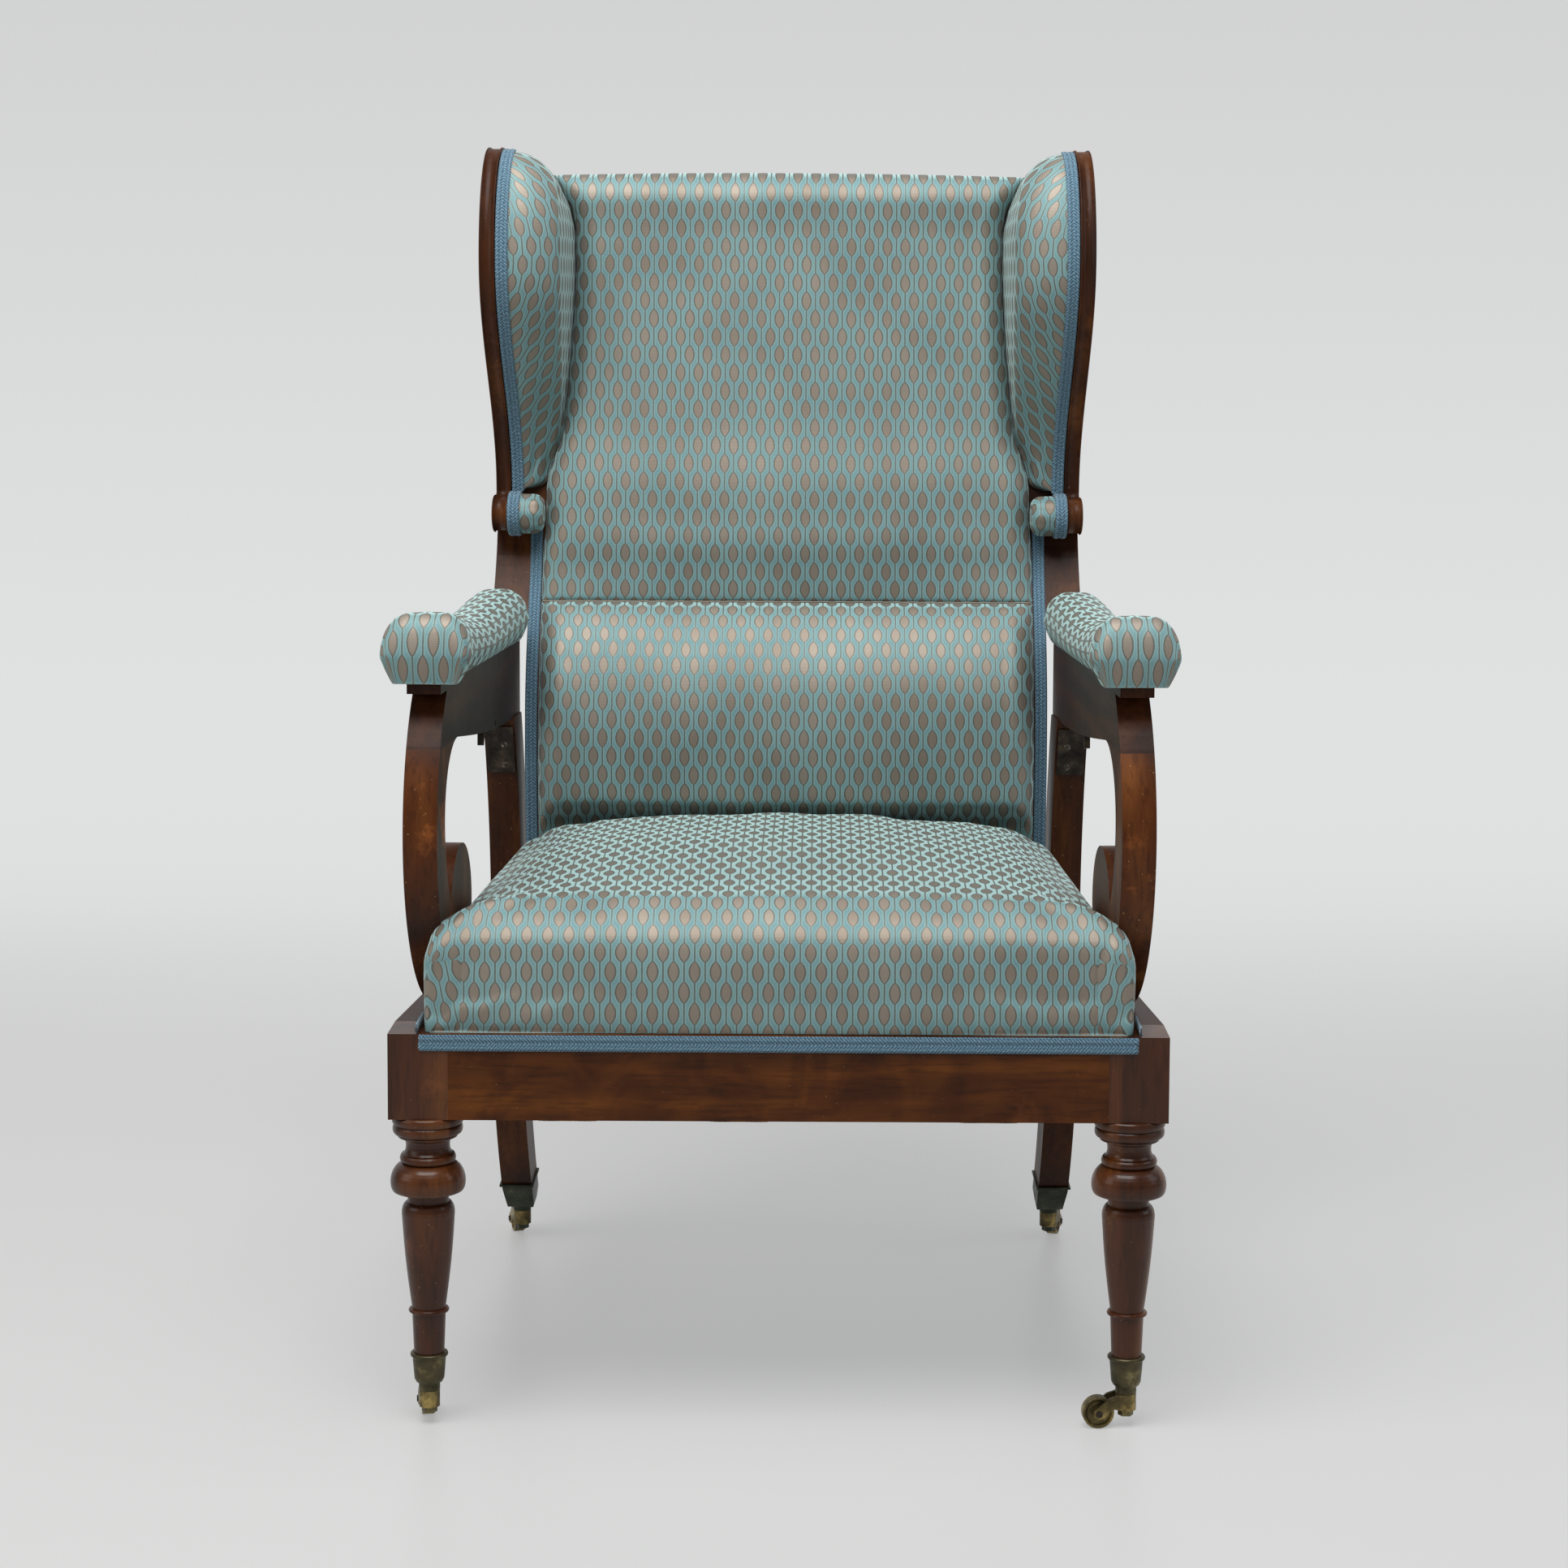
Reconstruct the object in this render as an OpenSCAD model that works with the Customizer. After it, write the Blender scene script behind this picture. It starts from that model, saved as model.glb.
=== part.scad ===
// Reclining wing armchair on castors, in millimetres.
// It faces -Y and stands on z = 0. Depths run back from the front rail's face.

/* [Seat frame] */
// Height of the underside of the seat rails
rail_bottom = 284; // [270:1:300]
// Height of the rails
rail_h = 77; // [70:1:84]
// How far the square tops of the front legs stand out beyond the arms
block_out = 12; // [7:1:19]
// Side of a front leg's square top
block_w = 53; // [50:1:56]
// Thickness of the front rail
front_rail_thick = 28; // [22:1:32]
// Thickness of a side rail
side_rail_thick = 44; // [42:1:48]
// Thickness of the rear rail
rear_rail_thick = 20; // [16:1:22]
// Depth from the front rail's face to the rear posts
seat_depth = 515; // [508:1:520]
// Half of the width over the arms, carried forward to the front rail's face
side_half = 333; // [330:1:336]
// Angle by which each side closes in toward the back
side_taper = 3; // [2.5:0.1:3.4]

/* [Front legs] */
// Distance of a turned leg's axis from its square top's outer face
leg_inset = 32; // [28:1:35]
// Radius of the two rings under the square top
ring_r = 32; // [30:0.5:33]
// Height of one of these rings
ring_h = 8.7; // [8:0.1:9.5]
// Radius of the thin lip under the rings
lip_r = 27; // [25:0.5:29]
// Radius at the bottom of the cove
cove_r = 19.5; // [18:0.5:21]
// Height of the cove
cove_h = 15; // [13:0.5:17]
// Radius of the bead between cove and bell
bead_r = 25; // [23:0.5:27]
// Largest radius of the bell
bell_r = 33.5; // [31:0.5:35]
// Height of the bell
bell_h = 26; // [23:0.5:29]
// Radius of the neck under the bell
neck_r = 18.7; // [17:0.1:20]
// Radius of the tapered shaft at its shoulder
vase_r = 23.7; // [22:0.1:26]
// Radius of the shaft above its low ring
ankle_r = 15; // [14.5:0.1:16]
// Radius of the shaft at the castor cup
shaft_end_r = 13.6; // [13.2:0.1:14]
// Radius of the low ring
ankle_ring_r = 18.2; // [17:0.1:20]

/* [Rear posts and legs] */
// Thickness of a post, across the chair
post_thick = 32; // [28:1:32]
// Depth of a post at the rails
post_depth = 50; // [46:1:54]
// Depth of a rear leg at the foot
foot_depth = 42; // [38:1:46]
// How far a rear leg kicks back at the floor
foot_kick = 114; // [95:1:130]
// How far a post leans forward at the arm
post_lean = 46; // [38:1:50]

/* [Arms] */
// Thickness of the arms and of their scrolls
arm_thick = 30.5; // [28:0.5:32]
// Height of the arm's top at the front
arm_top = 668; // [664:1:672]
// Fall of the arm's top toward the back
arm_fall = 6; // [2:1:8]
// Height of the arm's side at the front
arm_h = 59; // [56:1:62]
// Drop of the underside toward the post
arm_drop = 24; // [20:1:27]
// Radius of the scroll's outer curve
scroll_r = 174; // [170:1:178]
// Depth of that curve's centre
scroll_depth = 189; // [184:1:194]
// Drop of that curve's centre below the arm's top
scroll_drop = 139; // [135:1:143]
// Width of the scroll's band at the front
band_w = 43; // [38:1:48]
// Radius of the opening's upper corner
opening_r = 70; // [64:1:74]
// Radius of the opening below that corner
low_opening_r = 110; // [102:1:118]
// Radius of the volute
volute_r = 58; // [54:1:60]
// Depth of the volute's centre
volute_depth = 145; // [141:1:149]
// Height of the volute's centre, as a share of the way from the rails to the arm's top
volute_share = 0.29; // [0.28:0.005:0.3]

/* [Castors] */
// Height of the underside of the castor sockets
castor_h = 39; // [38:0.5:41]
// Radius of a wheel
wheel_r = 14.2; // [13.5:0.1:15]
// Width of a wheel
wheel_w = 11; // [9:0.5:12]
// Distance of the wheel's axle from the swivel axis
trail = 25.5; // [25:0.5:28]
// Radius of the swivel boss
boss_r = 9.3; // [8.6:0.1:9.6]
// Radius of the swivel pin
swivel_r = 4; // [3:0.1:5]
// Radius of the axle
axle_r = 2; // [1.5:0.1:2.5]
// Radius of a front cup at its rim
cup_r = 15; // [14.8:0.1:16]
// Height of a front cup
cup_h = 27; // [24:0.5:30]

/* [Back] */
// How far the hinge axis lies behind the front of the rear posts
hinge_set_back = 33; // [31:1:35]
// Height of the hinge axis
hinge_height = 330; // [326:1:334]
// Radius of a hinge pin
hinge_pin_r = 5; // [4:0.5:6]
// Clearance between the back and a rear post at the hinge
back_clearance = 4.3; // [3.3:0.1:8.3]
// Width of a stile below the shoulder
stile_w = 32; // [28:1:36]
// Depth of a stile
stile_depth = 42; // [38:1:46]
// Rise of the back's shoulders above the front of the arms
shoulder_rise = 11; // [9:1:15]
// Height of the top of the back above its shoulders
back_rise = 459; // [441:1:471]
// How far the stiles swell forward at the small of the back
lumbar_reach = 60; // [57:1:62]
// How far the top of the back lies behind the hinge
back_rake = 64; // [50:1:76]

/* [Wings] */
// Thickness of a wing's board
wing_thick = 15.7; // [14:0.1:18]
// Rise of the top of the wings above the back
wing_rise = 25; // [17:1:32]
// Drop from there to where a wing reaches farthest forward
wing_belly_drop = 115; // [103:1:128]
// How far a wing reaches forward of the hinge there
wing_reach = 96; // [86:1:103]
// Height at which a wing's front edge meets its scroll
wing_low = 810; // [806:1:816]
// Radius of the small scroll that ends the wing
wing_scroll_r = 19.5; // [18:0.5:20]
// How far a wing's padding swells inward
wing_pad_h = 66; // [56:1:70]

/* [Recliner] */
// Drop of a rack's arc below its shoulder, at the top
rack_drop = 33; // [32:1:34]
// Height of a rack's section
rack_h = 14; // [12:0.5:15]
// Thickness of a rack
rack_thick = 6; // [5:0.5:6]
// Distance of a rack in from the plane of the arms
rack_inset = 40; // [39.5:0.5:40.5]
// Number of notches in a rack
notch_count = 6; // [4:1:6]
// Angle between notches
notch_step = 4; // [3.5:0.5:4]
// Depth of a notch
notch_depth = 3; // [2:0.5:3.5]
// Rise of a catch lever's nose above its pivot
lever_rise = 6.9; // [6.4:0.1:7.4]
// Radius of a catch lever's pivot pin
catch_pin_r = 2.5; // [2:0.1:3]

/* [Upholstery] */
// Height of the seat's side above the rails
seat_wall = 76; // [66:1:82]
// Radius of the seat's rolled edge
seat_roll = 24; // [18:1:28]
// Rise of the seat's crown above its rolled edge
seat_crown = 6; // [3:1:12]
// Share by which the stuffing swells behind the front edge
seat_swell_share = 0.6; // [0.3:0.05:0.7]
// How far the seat's side stands in from the front legs' outer faces
seat_set_in = 27; // [25:1:31]
// Thickness of the upper back's padding
upper_pad_h = 42; // [34:1:48]
// Thickness of the lumbar padding
lumbar_pad_h = 50; // [42:1:54]
// Rise of the seam between the two back pads above the shoulders
seam_rise = 20; // [18:1:26]
// Half of the width of an arm pad at its flared front
pad_front_half = 41; // [38:1:44]
// Half of the width of an arm pad behind the flare
pad_half = 28; // [25:1:30]
// Height of an arm pad at its front
pad_h = 62; // [54:1:66]
// Width of the braid
braid_w = 13; // [11:1:15]
// Thickness of the braid
braid_thick = 2.2; // [1.5:0.1:3]

/* [Hidden] */
$fn = 64;

wood = "#5b3123";
veneer = "#8a4a26";
cloth = "#7fa9ae";
braid = "#6489a8";
jute = "#9a7b52";
lining = "#9a9da1";
bronze = "#7c7050";
iron = "#403a35";

// Clearance of a pin that turns in its bore
running = 0.05;
// Clearance between upholstery and what it lies on
soft_gap = 0.3;
// Clearance between parts that pass each other
pass_gap = 1;
// Overrun of cuts
over = 1;
// Step between the points of a curved outline
outline_step = 12;

arm_low = arm_top - arm_h;
scroll_height = arm_top - scroll_drop;
hinge_depth = seat_depth + hinge_set_back;
wing_belly_depth = hinge_depth - wing_reach;
front_half = side_half + block_out;
leg_half = front_half - leg_inset;
seat_front_half = front_half - seat_set_in;
rack_half = side_half - rack_inset;
shoulder_height = arm_top + shoulder_rise;
seam_height = shoulder_height + seam_rise;
back_top = shoulder_height + back_rise;
wing_top = back_top + wing_rise;
wing_belly_height = wing_top - wing_belly_drop;
rack_r = shoulder_height - hinge_height - rack_drop;
rail_top = rail_bottom + rail_h;
volute_height = rail_top + volute_share * (arm_top - rail_top);
leg_depth = block_w / 2;
arm_end_low = arm_low - arm_drop;
post_top = arm_end_low;
arm_rear = seat_depth - post_lean + post_depth;
opening_front = scroll_depth - scroll_r + band_w;
opening_height = arm_low - opening_r;

// Where each castor trails at rest, as an angle from +X
front_left_heading = 100;
front_right_heading = 186;
rear_left_heading = 106;
rear_right_heading = 74;

// Depth of the front and the rear face of a post at a height
function post_front(z) =
    z < rail_bottom ? seat_depth + foot_kick * pow((rail_bottom - z) / rail_bottom, 2)
    : z < rail_top ? seat_depth
    : seat_depth - post_lean * pow((z - rail_top) / (post_top - rail_top), 2);
function post_rear(z) =
    post_front(z) + (z < rail_bottom
        ? post_depth + (foot_depth - post_depth) * (rail_bottom - z) / rail_bottom
        : post_depth);

// Outer face of the sides at a depth
function side_at(d) = side_half - d * tan(side_taper);
// Place of a point of a side's board, from its depth and its distance inward
function side_point(d, inward) = [
    side_half - d * sin(side_taper) - inward * cos(side_taper),
    d * cos(side_taper) - inward * sin(side_taper)
];
back_half = side_at(hinge_depth) - post_thick - back_clearance;
rear_swivel = side_point((post_front(castor_h) + post_rear(castor_h)) / 2, post_thick / 2);

// Stile outline: heights are shares of the span below or above the shoulder,
// depths are shares of the swell or of the rake
hinge_boss_r = 13;
knee_height_share = 0.12;
knee_depth_share = 0.32;
low_height_shares = [0.29, 0.43, 0.6, 0.774, 0.888, 1];
low_depth_shares = [0.84, 0.92, 1, 0.93, 0.72, 0.35];
high_height_shares = [0.078, 0.163, 0.282, 0.479, 0.783, 1];
high_depth_shares = [0.02, 0.3, 0.45, 0.625, 0.875, 1];
low_span = shoulder_height - hinge_height;
high_span = back_top - shoulder_height;
stile_knots = concat(
    [[hinge_height, hinge_depth - hinge_boss_r],
     [hinge_height + knee_height_share * low_span, hinge_depth - knee_depth_share * lumbar_reach]],
    [for (i = [0 : len(low_height_shares) - 1])
        [hinge_height + low_height_shares[i] * low_span,
         hinge_depth - low_depth_shares[i] * lumbar_reach]],
    [for (i = [0 : len(high_height_shares) - 1])
        [shoulder_height + high_height_shares[i] * high_span,
         hinge_depth + high_depth_shares[i] * back_rake]]
);
knot_blend = low_span / 25;

// Depth of the front and the rear face of the stiles at a height
function stile_front(z) =
    (lookup(z - knot_blend, stile_knots) + 2 * lookup(z, stile_knots)
     + lookup(z + knot_blend, stile_knots)) / 4;
function stile_rear(z) =
    stile_front(z) + min(stile_depth, 2 * hinge_boss_r
        + (stile_depth - 2 * hinge_boss_r) * max(0, z - hinge_height) / (0.3 * low_span));

// Thickness of the cloth over the back of the backrest
cover_thick = 2.5;
// Depth of the dish in a wheel's faces
dish = 2;
// Farthest points in front and behind
function wheel_reach(heading) =
    rear_swivel.y + (trail + wheel_r) * sin(heading)
    + (wheel_w / 2 - dish / 4) * abs(cos(heading));
front_reach = leg_depth - max(ring_r, bell_r);
rear_reach = max(stile_rear(back_top) + cover_thick + soft_gap,
    wheel_reach(rear_left_heading), wheel_reach(rear_right_heading));
depth_centre = (front_reach + rear_reach) / 2;

// Smooth rise from 0 to 1
function ease(t) = (1 - cos(180 * min(1, max(0, t)))) / 2;
// Depth of a wing's front edge at a height
wing_foot_depth = stile_front(wing_low) - knot_blend;
wing_crest_depth = wing_belly_depth + (wing_top - wing_belly_height) * 0.6;
function wing_front(z) =
    z < wing_belly_height
    ? wing_foot_depth + (wing_belly_depth - wing_foot_depth)
        * ease((z - wing_low) / (wing_belly_height - wing_low))
    : wing_crest_depth - (wing_crest_depth - wing_belly_depth)
        * sqrt(max(0, 1 - pow((z - wing_belly_height) / (wing_top - wing_belly_height), 2)));

// Placing

module standing() translate([0, -depth_centre, 0]) children();

module on_side(side) {
    if (side < 0) mirror([1, 0, 0]) children();
    else children();
}

// A board in the plane of a side: children give depth and height
module side_board(inset, thick) {
    translate([side_half, 0, 0])
        rotate([0, 0, side_taper])
            translate([-inset - thick, 0, 0])
                rotate([90, 0, 90]) linear_extrude(thick) children();
}

// A profile in depth and height, drawn square across the chair
module across(from, to) {
    translate([from, 0, 0])
        rotate([90, 0, 90]) linear_extrude(to - from) children();
}

// A round bar along X
module bar_across(from, to, depth, height, radius) {
    across(from, to) translate([depth, height]) circle(r = radius);
}

// Seat frame

module front_rail() standing() color(veneer) {
    inner = front_half - block_w;
    translate([-inner, 0, rail_bottom]) cube([2 * inner, front_rail_thick, rail_h]);
}

// Rear corners of a side rail, outside and inside
rail_outer = side_point(seat_depth, 0);
rail_inner = side_point(seat_depth, side_rail_thick);
// Inner face of a side rail at a depth
function rail_inside(d) =
    rail_inner.x + (front_half - side_rail_thick - rail_inner.x)
        * (rail_inner.y - d) / (rail_inner.y - block_w);

module side_rail(side) standing() color(wood) on_side(side)
    translate([0, 0, rail_bottom])
        linear_extrude(rail_h)
            polygon([
                [front_half, block_w], rail_outer, rail_inner,
                [front_half - side_rail_thick, block_w]
            ]);
module left_side_rail() side_rail(-1);
module right_side_rail() side_rail(1);

rear_rail_depth = hinge_depth - hinge_boss_r - rear_rail_thick - 9 * pass_gap;
module rear_rail() standing() color(wood) {
    corners = [
        [rail_inner.x - soft_gap, rear_rail_depth], [rail_inner.x - soft_gap, rail_inner.y],
        rail_inner, side_point(seat_depth, post_thick),
        side_point(rear_rail_depth + rear_rail_thick, post_thick)
    ];
    translate([0, 0, rail_bottom])
        linear_extrude(rail_h)
            polygon(concat(corners, [for (i = [len(corners) - 1 : -1 : 0])
                [-corners[i].x, corners[i].y]]));
}

brace_leg = 45;
brace_h = 40;
module corner_braces() standing() color(wood) {
    front_x = front_half - block_w;
    rear_x = rail_inner.x - soft_gap;
    for (side = [-1, 1])
        on_side(side)
            translate([0, 0, rail_bottom + (rail_h - brace_h) / 2])
                linear_extrude(brace_h) {
                    polygon([
                        [front_x, front_rail_thick], [front_x, block_w],
                        [front_x - brace_leg, front_rail_thick]
                    ]);
                    polygon([
                        [rear_x - brace_leg, rear_rail_depth], [rear_x, rear_rail_depth],
                        [rail_inside(rear_rail_depth), rear_rail_depth - soft_gap],
                        [rail_inside(rear_rail_depth - brace_leg), rear_rail_depth - brace_leg]
                    ]);
                }
}

// Turned front legs

// A bead, or a cove where the crest is the smaller radius
function bead(top, height, base, crest, steps = 8) = [
    for (i = [0 : steps])
        let (a = 180 * i / steps)
            [base + (crest - base) * sin(a), -top - height / 2 * (1 - cos(a))]
];

leg_turning = rail_bottom - castor_h;
lip_h = 3.6;
bead_h = 8;
neck_h = 10;
shoulder_h = 10;
ankle_ring_h = 4.5;
// Distance of the low ring from the castor cup
ankle_rise = 41;
cup_wall = 1.6;
cup_floor = 3;

cove_at = 2 * ring_h + lip_h;
bead_at = cove_at + cove_h;
bell_at = bead_at + bead_h;
neck_at = bell_at + bell_h;
vase_at = neck_at + neck_h;
cup_at = leg_turning - cup_h;
ankle_at = cup_at - ankle_rise;
bell_neck_r = (cove_r + neck_r) / 2 + 2;
cup_low_r = cup_r - cup_wall;

leg_outline = concat(
    [[0, 0]],
    bead(0, ring_h, ring_r - ring_h / 4, ring_r),
    bead(ring_h, ring_h, ring_r - ring_h / 3, ring_r - ring_h / 12),
    bead(2 * ring_h, lip_h, lip_r - lip_h / 2, lip_r, 4),
    bead(cove_at, cove_h, (lip_r + cove_r) / 2, cove_r),
    bead(bead_at, bead_h, bead_r - bead_h / 3, bead_r, 6),
    [for (i = [0 : 8])
        let (a = 90 * i / 8)
            [bell_neck_r + (bell_r - bell_neck_r) * sin(a),
             -bell_at - 0.68 * bell_h * (1 - cos(a))]],
    [for (i = [1 : 4])
        let (a = 90 * i / 4)
            [bell_r - 0.1 * bell_r * (1 - cos(a)), -bell_at - bell_h * (0.68 + 0.32 * sin(a))]],
    bead(neck_at, neck_h, neck_r, neck_r - neck_r / 40, 4),
    [for (i = [1 : 5])
        let (a = 90 * i / 5)
            [neck_r + (vase_r - neck_r) * sin(a), -vase_at - shoulder_h * (1 - cos(a))]],
    [for (i = [1 : 10])
        let (t = i / 10, fall = ankle_at - vase_at - shoulder_h)
            [vase_r + (ankle_r - vase_r) * (t - 0.12 * sin(180 * t)),
             -vase_at - shoulder_h - fall * t]],
    bead(ankle_at, ankle_ring_h, ankle_r, ankle_ring_r, 6),
    [[shaft_end_r, -cup_at + running],
     [cup_r - cup_wall - running, -cup_at],
     [cup_low_r - cup_wall - running, -leg_turning + cup_floor],
     [0, -leg_turning + cup_floor]]
);

module front_leg(side) standing() color(wood) on_side(side) {
    translate([front_half - block_w, 0, rail_bottom]) cube([block_w, block_w, rail_h]);
    translate([leg_half, leg_depth, rail_bottom]) rotate_extrude() polygon(leg_outline);
}
module left_front_leg() front_leg(-1);
module right_front_leg() front_leg(1);

// Rear posts, each in one piece with its sabre leg

// Height of the socket's rim in front and behind, where it is cut across the leg
rim_front = castor_h + 30;
rim_rear = castor_h + 37;
foot_rebate = 3;
socket_floor = 3;

// Heights from one to the other by way of common steps, so that neighbours agree
function heights(from, to, step = outline_step) =
    let (
        low = min(from, to),
        high = max(from, to),
        first = ceil((low + over) / step),
        last = floor((high - over) / step),
        up = concat([low], [for (i = [first : 1 : last]) i * step], [high])
    ) from < to ? up : [for (i = [len(up) - 1 : -1 : 0]) up[i]];

module post_profile() {
    polygon(concat(
        [for (z = heights(rim_front, post_top)) [post_front(z), z]],
        [for (z = heights(post_top, rim_rear)) [post_rear(z), z]]
    ));
}

module foot_profile(inset, low, drop = 0) {
    polygon(concat(
        [for (z = heights(low, rim_front - drop)) [post_front(z) + inset, z]],
        [for (z = heights(rim_rear - drop, low)) [post_rear(z) - inset, z]]
    ));
}

hinge_pin_grip = 22;
module rear_post(side) standing() color(wood) on_side(side)
    difference() {
        union() {
            side_board(0, post_thick) post_profile();
            side_board(foot_rebate, post_thick - 2 * foot_rebate)
                foot_profile(foot_rebate, castor_h + socket_floor);
        }
        bar_across(back_half, side_at(hinge_depth) - post_thick + hinge_pin_grip + running,
            hinge_depth, hinge_height, hinge_pin_r + running);
    }
module left_rear_post() rear_post(-1);
module right_rear_post() rear_post(1);

// Arms

// Outer curve of the scroll at a height
function scroll_front(z) = scroll_depth - sqrt(pow(scroll_r, 2) - pow(z - scroll_height, 2));
// Underside of the arm at a depth
arm_bend = opening_front + opening_r;
post_front_top = seat_depth - post_lean;
function arm_under(d) =
    arm_low - arm_drop * sin(90 * min(1, max(0, (d - arm_bend) / (post_front_top - arm_bend))));
// Top of the arm at a depth
function arm_over(d) = arm_top - arm_fall * d / arm_rear;

// Width of the foot's top behind the volute, over the rail
foot_rear_share = 0.8;

module scroll_profile() {
    difference() {
        intersection() {
            translate([scroll_depth, scroll_height]) circle(r = scroll_r);
            translate([0, rail_top]) square([scroll_depth, arm_low - rail_top]);
        }
        translate([arm_bend, opening_height]) circle(r = opening_r);
        translate([arm_bend, opening_height]) square([scroll_r, 2 * opening_r]);
        intersection() {
            translate([opening_front + low_opening_r, opening_height]) circle(r = low_opening_r);
            translate([opening_front, opening_height - scroll_r]) square([2 * scroll_r, scroll_r]);
        }
    }
    translate([volute_depth, volute_height]) circle(r = volute_r);
    polygon([
        [volute_depth, rail_top],
        [volute_depth + foot_rear_share * volute_r, rail_top],
        [volute_depth + volute_r, volute_height],
        [volute_depth, volute_height]
    ]);
}

module arm_scroll(side) standing() color(wood) on_side(side)
    side_board(0, arm_thick) scroll_profile();
module left_arm_scroll() arm_scroll(-1);
module right_arm_scroll() arm_scroll(1);

// A band of an arc about the hinge, from the upright toward the front
function hinge_arc(radius, from, to, steps = 16) = [
    for (i = [0 : steps])
        let (a = from + (to - from) * i / steps)
            [hinge_depth - radius * sin(a), hinge_height + radius * cos(a)]
];
module hinge_band(inner, outer, from, to) {
    polygon(concat(hinge_arc(outer, from, to), hinge_arc(inner, to, from)));
}

// Height of the catch lever's pivot, as a share of the underside's drop
catch_drop_share = 0.65;
catch_height = arm_low - catch_drop_share * arm_drop;
lever_h = 8;
lever_tail = 56;
lever_nose = 48;
tooth_r = rack_r - rack_h / 2;
nose_gap = 0.8;
nose_r = tooth_r - nose_gap;
// The lever's nose stands on the arc of the notches at its own height
nose_reach = sqrt(pow(nose_r, 2) - pow(catch_height + lever_rise - hinge_height, 2));
nose_angle = asin(nose_reach / nose_r);
catch_depth = hinge_depth - nose_reach - lever_nose;
slot_front = catch_depth - lever_tail - 3 * pass_gap;
slot_rear = catch_depth + lever_nose + 4 * pass_gap;
slot_top = catch_height + lever_h + pass_gap;
rack_end = nose_angle + 2;

// Thin board under the pad, in front of the arm
pad_board_h = 10;
pad_board_front = 40;

module arm_rail_profile() {
    polygon(concat(
        [for (z = heights(arm_low, arm_over(0) - pad_board_h)) [scroll_front(z), z]],
        [[pad_board_front, arm_over(0) - pad_board_h],
         [pad_board_front, arm_over(pad_board_front)],
         [arm_rear, arm_over(arm_rear)],
         [arm_rear, arm_end_low]],
        [for (i = [0 : 20])
            let (d = post_front_top + (arm_bend - post_front_top) * i / 20)
                [d, arm_under(d)]]
    ));
}

module arm_rail(side) standing() color(wood) on_side(side)
    difference() {
        side_board(0, arm_thick) arm_rail_profile();
        across(rack_half - rack_thick / 2 - pass_gap, rack_half + rack_thick / 2 + pass_gap) {
            hinge_band(tooth_r - pass_gap, rack_r + rack_h / 2 + pass_gap, 0, rack_end + 1);
            translate([slot_front, arm_end_low - arm_drop])
                square([slot_rear - slot_front, slot_top - arm_end_low + arm_drop]);
        }
        bar_across(rack_half - arm_thick, rack_half + rack_thick + 3 * pass_gap,
            catch_depth, catch_height, catch_pin_r + running);
    }
module left_arm_rail() arm_rail(-1);
module right_arm_rail() arm_rail(1);

// Catch levers

module lever_profile() {
    nose = [hinge_depth - nose_r * sin(nose_angle), hinge_height + nose_r * cos(nose_angle)];
    low = catch_height - lever_h / 2;
    high = catch_height + lever_h / 2;
    tail = catch_depth - lever_tail;
    polygon([
        [tail, low - 1.25 * lever_h],
        [tail + lever_h / 2, low - 1.4 * lever_h],
        [tail + lever_h, low - 0.75 * lever_h],
        [tail + 1.6 * lever_h, low],
        [nose.x + lever_h / 4, low],
        [nose.x + lever_h / 4, nose.y - lever_h / 4],
        nose,
        [nose.x - 1.5 * lever_h, catch_height],
        [nose.x - 3.5 * lever_h, high],
        [tail + lever_h, high],
        [tail + lever_h / 8, high - lever_h / 3]
    ]);
}

module catch_lever(side) standing() color(iron) on_side(side)
    across(rack_half - rack_thick / 2, rack_half + rack_thick / 2)
        difference() {
            lever_profile();
            translate([catch_depth, catch_height]) circle(r = catch_pin_r + running);
        }
module left_catch_lever() catch_lever(-1);
module right_catch_lever() catch_lever(1);

module catch_pins() standing() color(iron)
    for (side = [-1, 1])
        on_side(side)
            bar_across(side_at(catch_depth) - arm_thick + pass_gap,
                rack_half + rack_thick + 2 * pass_gap,
                catch_depth, catch_height, catch_pin_r);

// Racks, each hung from a shoulder of the back

tang_depth = 10;
tang_plate_h = 3;
tang_plate = [26, 34];

module rack_profile() {
    difference() {
        hinge_band(tooth_r, rack_r + rack_h / 2, -2, rack_end);
        for (i = [0 : notch_count - 1])
            let (a = nose_angle - i * notch_step)
                polygon(concat(
                    hinge_arc(tooth_r - notch_depth, a - 0.3, a + 0.9, 2),
                    hinge_arc(tooth_r + notch_depth, a + 0.15, a - 0.15, 2)
                ));
    }
    translate([hinge_depth - tang_depth / 2, hinge_height + rack_r])
        square([tang_depth, shoulder_height - hinge_height - rack_r]);
}

module rack(side) standing() color(iron) on_side(side) {
    across(rack_half - rack_thick / 2, rack_half + rack_thick / 2) rack_profile();
    translate([rack_half - tang_plate.x / 2, hinge_depth - tang_plate.y / 2,
        shoulder_height - tang_plate_h])
        cube([tang_plate.x, tang_plate.y, tang_plate_h]);
}
module left_rack() rack(-1);
module right_rack() rack(1);

// Backrest frame

module stile_profile(from, to) {
    polygon(concat(
        [for (z = heights(from, to)) [stile_front(z), z]],
        [for (z = heights(to, from)) [stile_rear(z), z]]
    ));
}

wing_scroll_depth = wing_foot_depth - wing_scroll_r * 0.8;
wing_scroll_height = wing_low - wing_scroll_r - 2;
wing_heel = wing_scroll_height - wing_scroll_r * 0.8;

// Keeps what lies inside of a board's plane
module inside_of(inset)
    intersection() {
        children();
        side_board(inset, side_half) square([2 * seat_depth, 2 * back_top]);
    }

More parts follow.
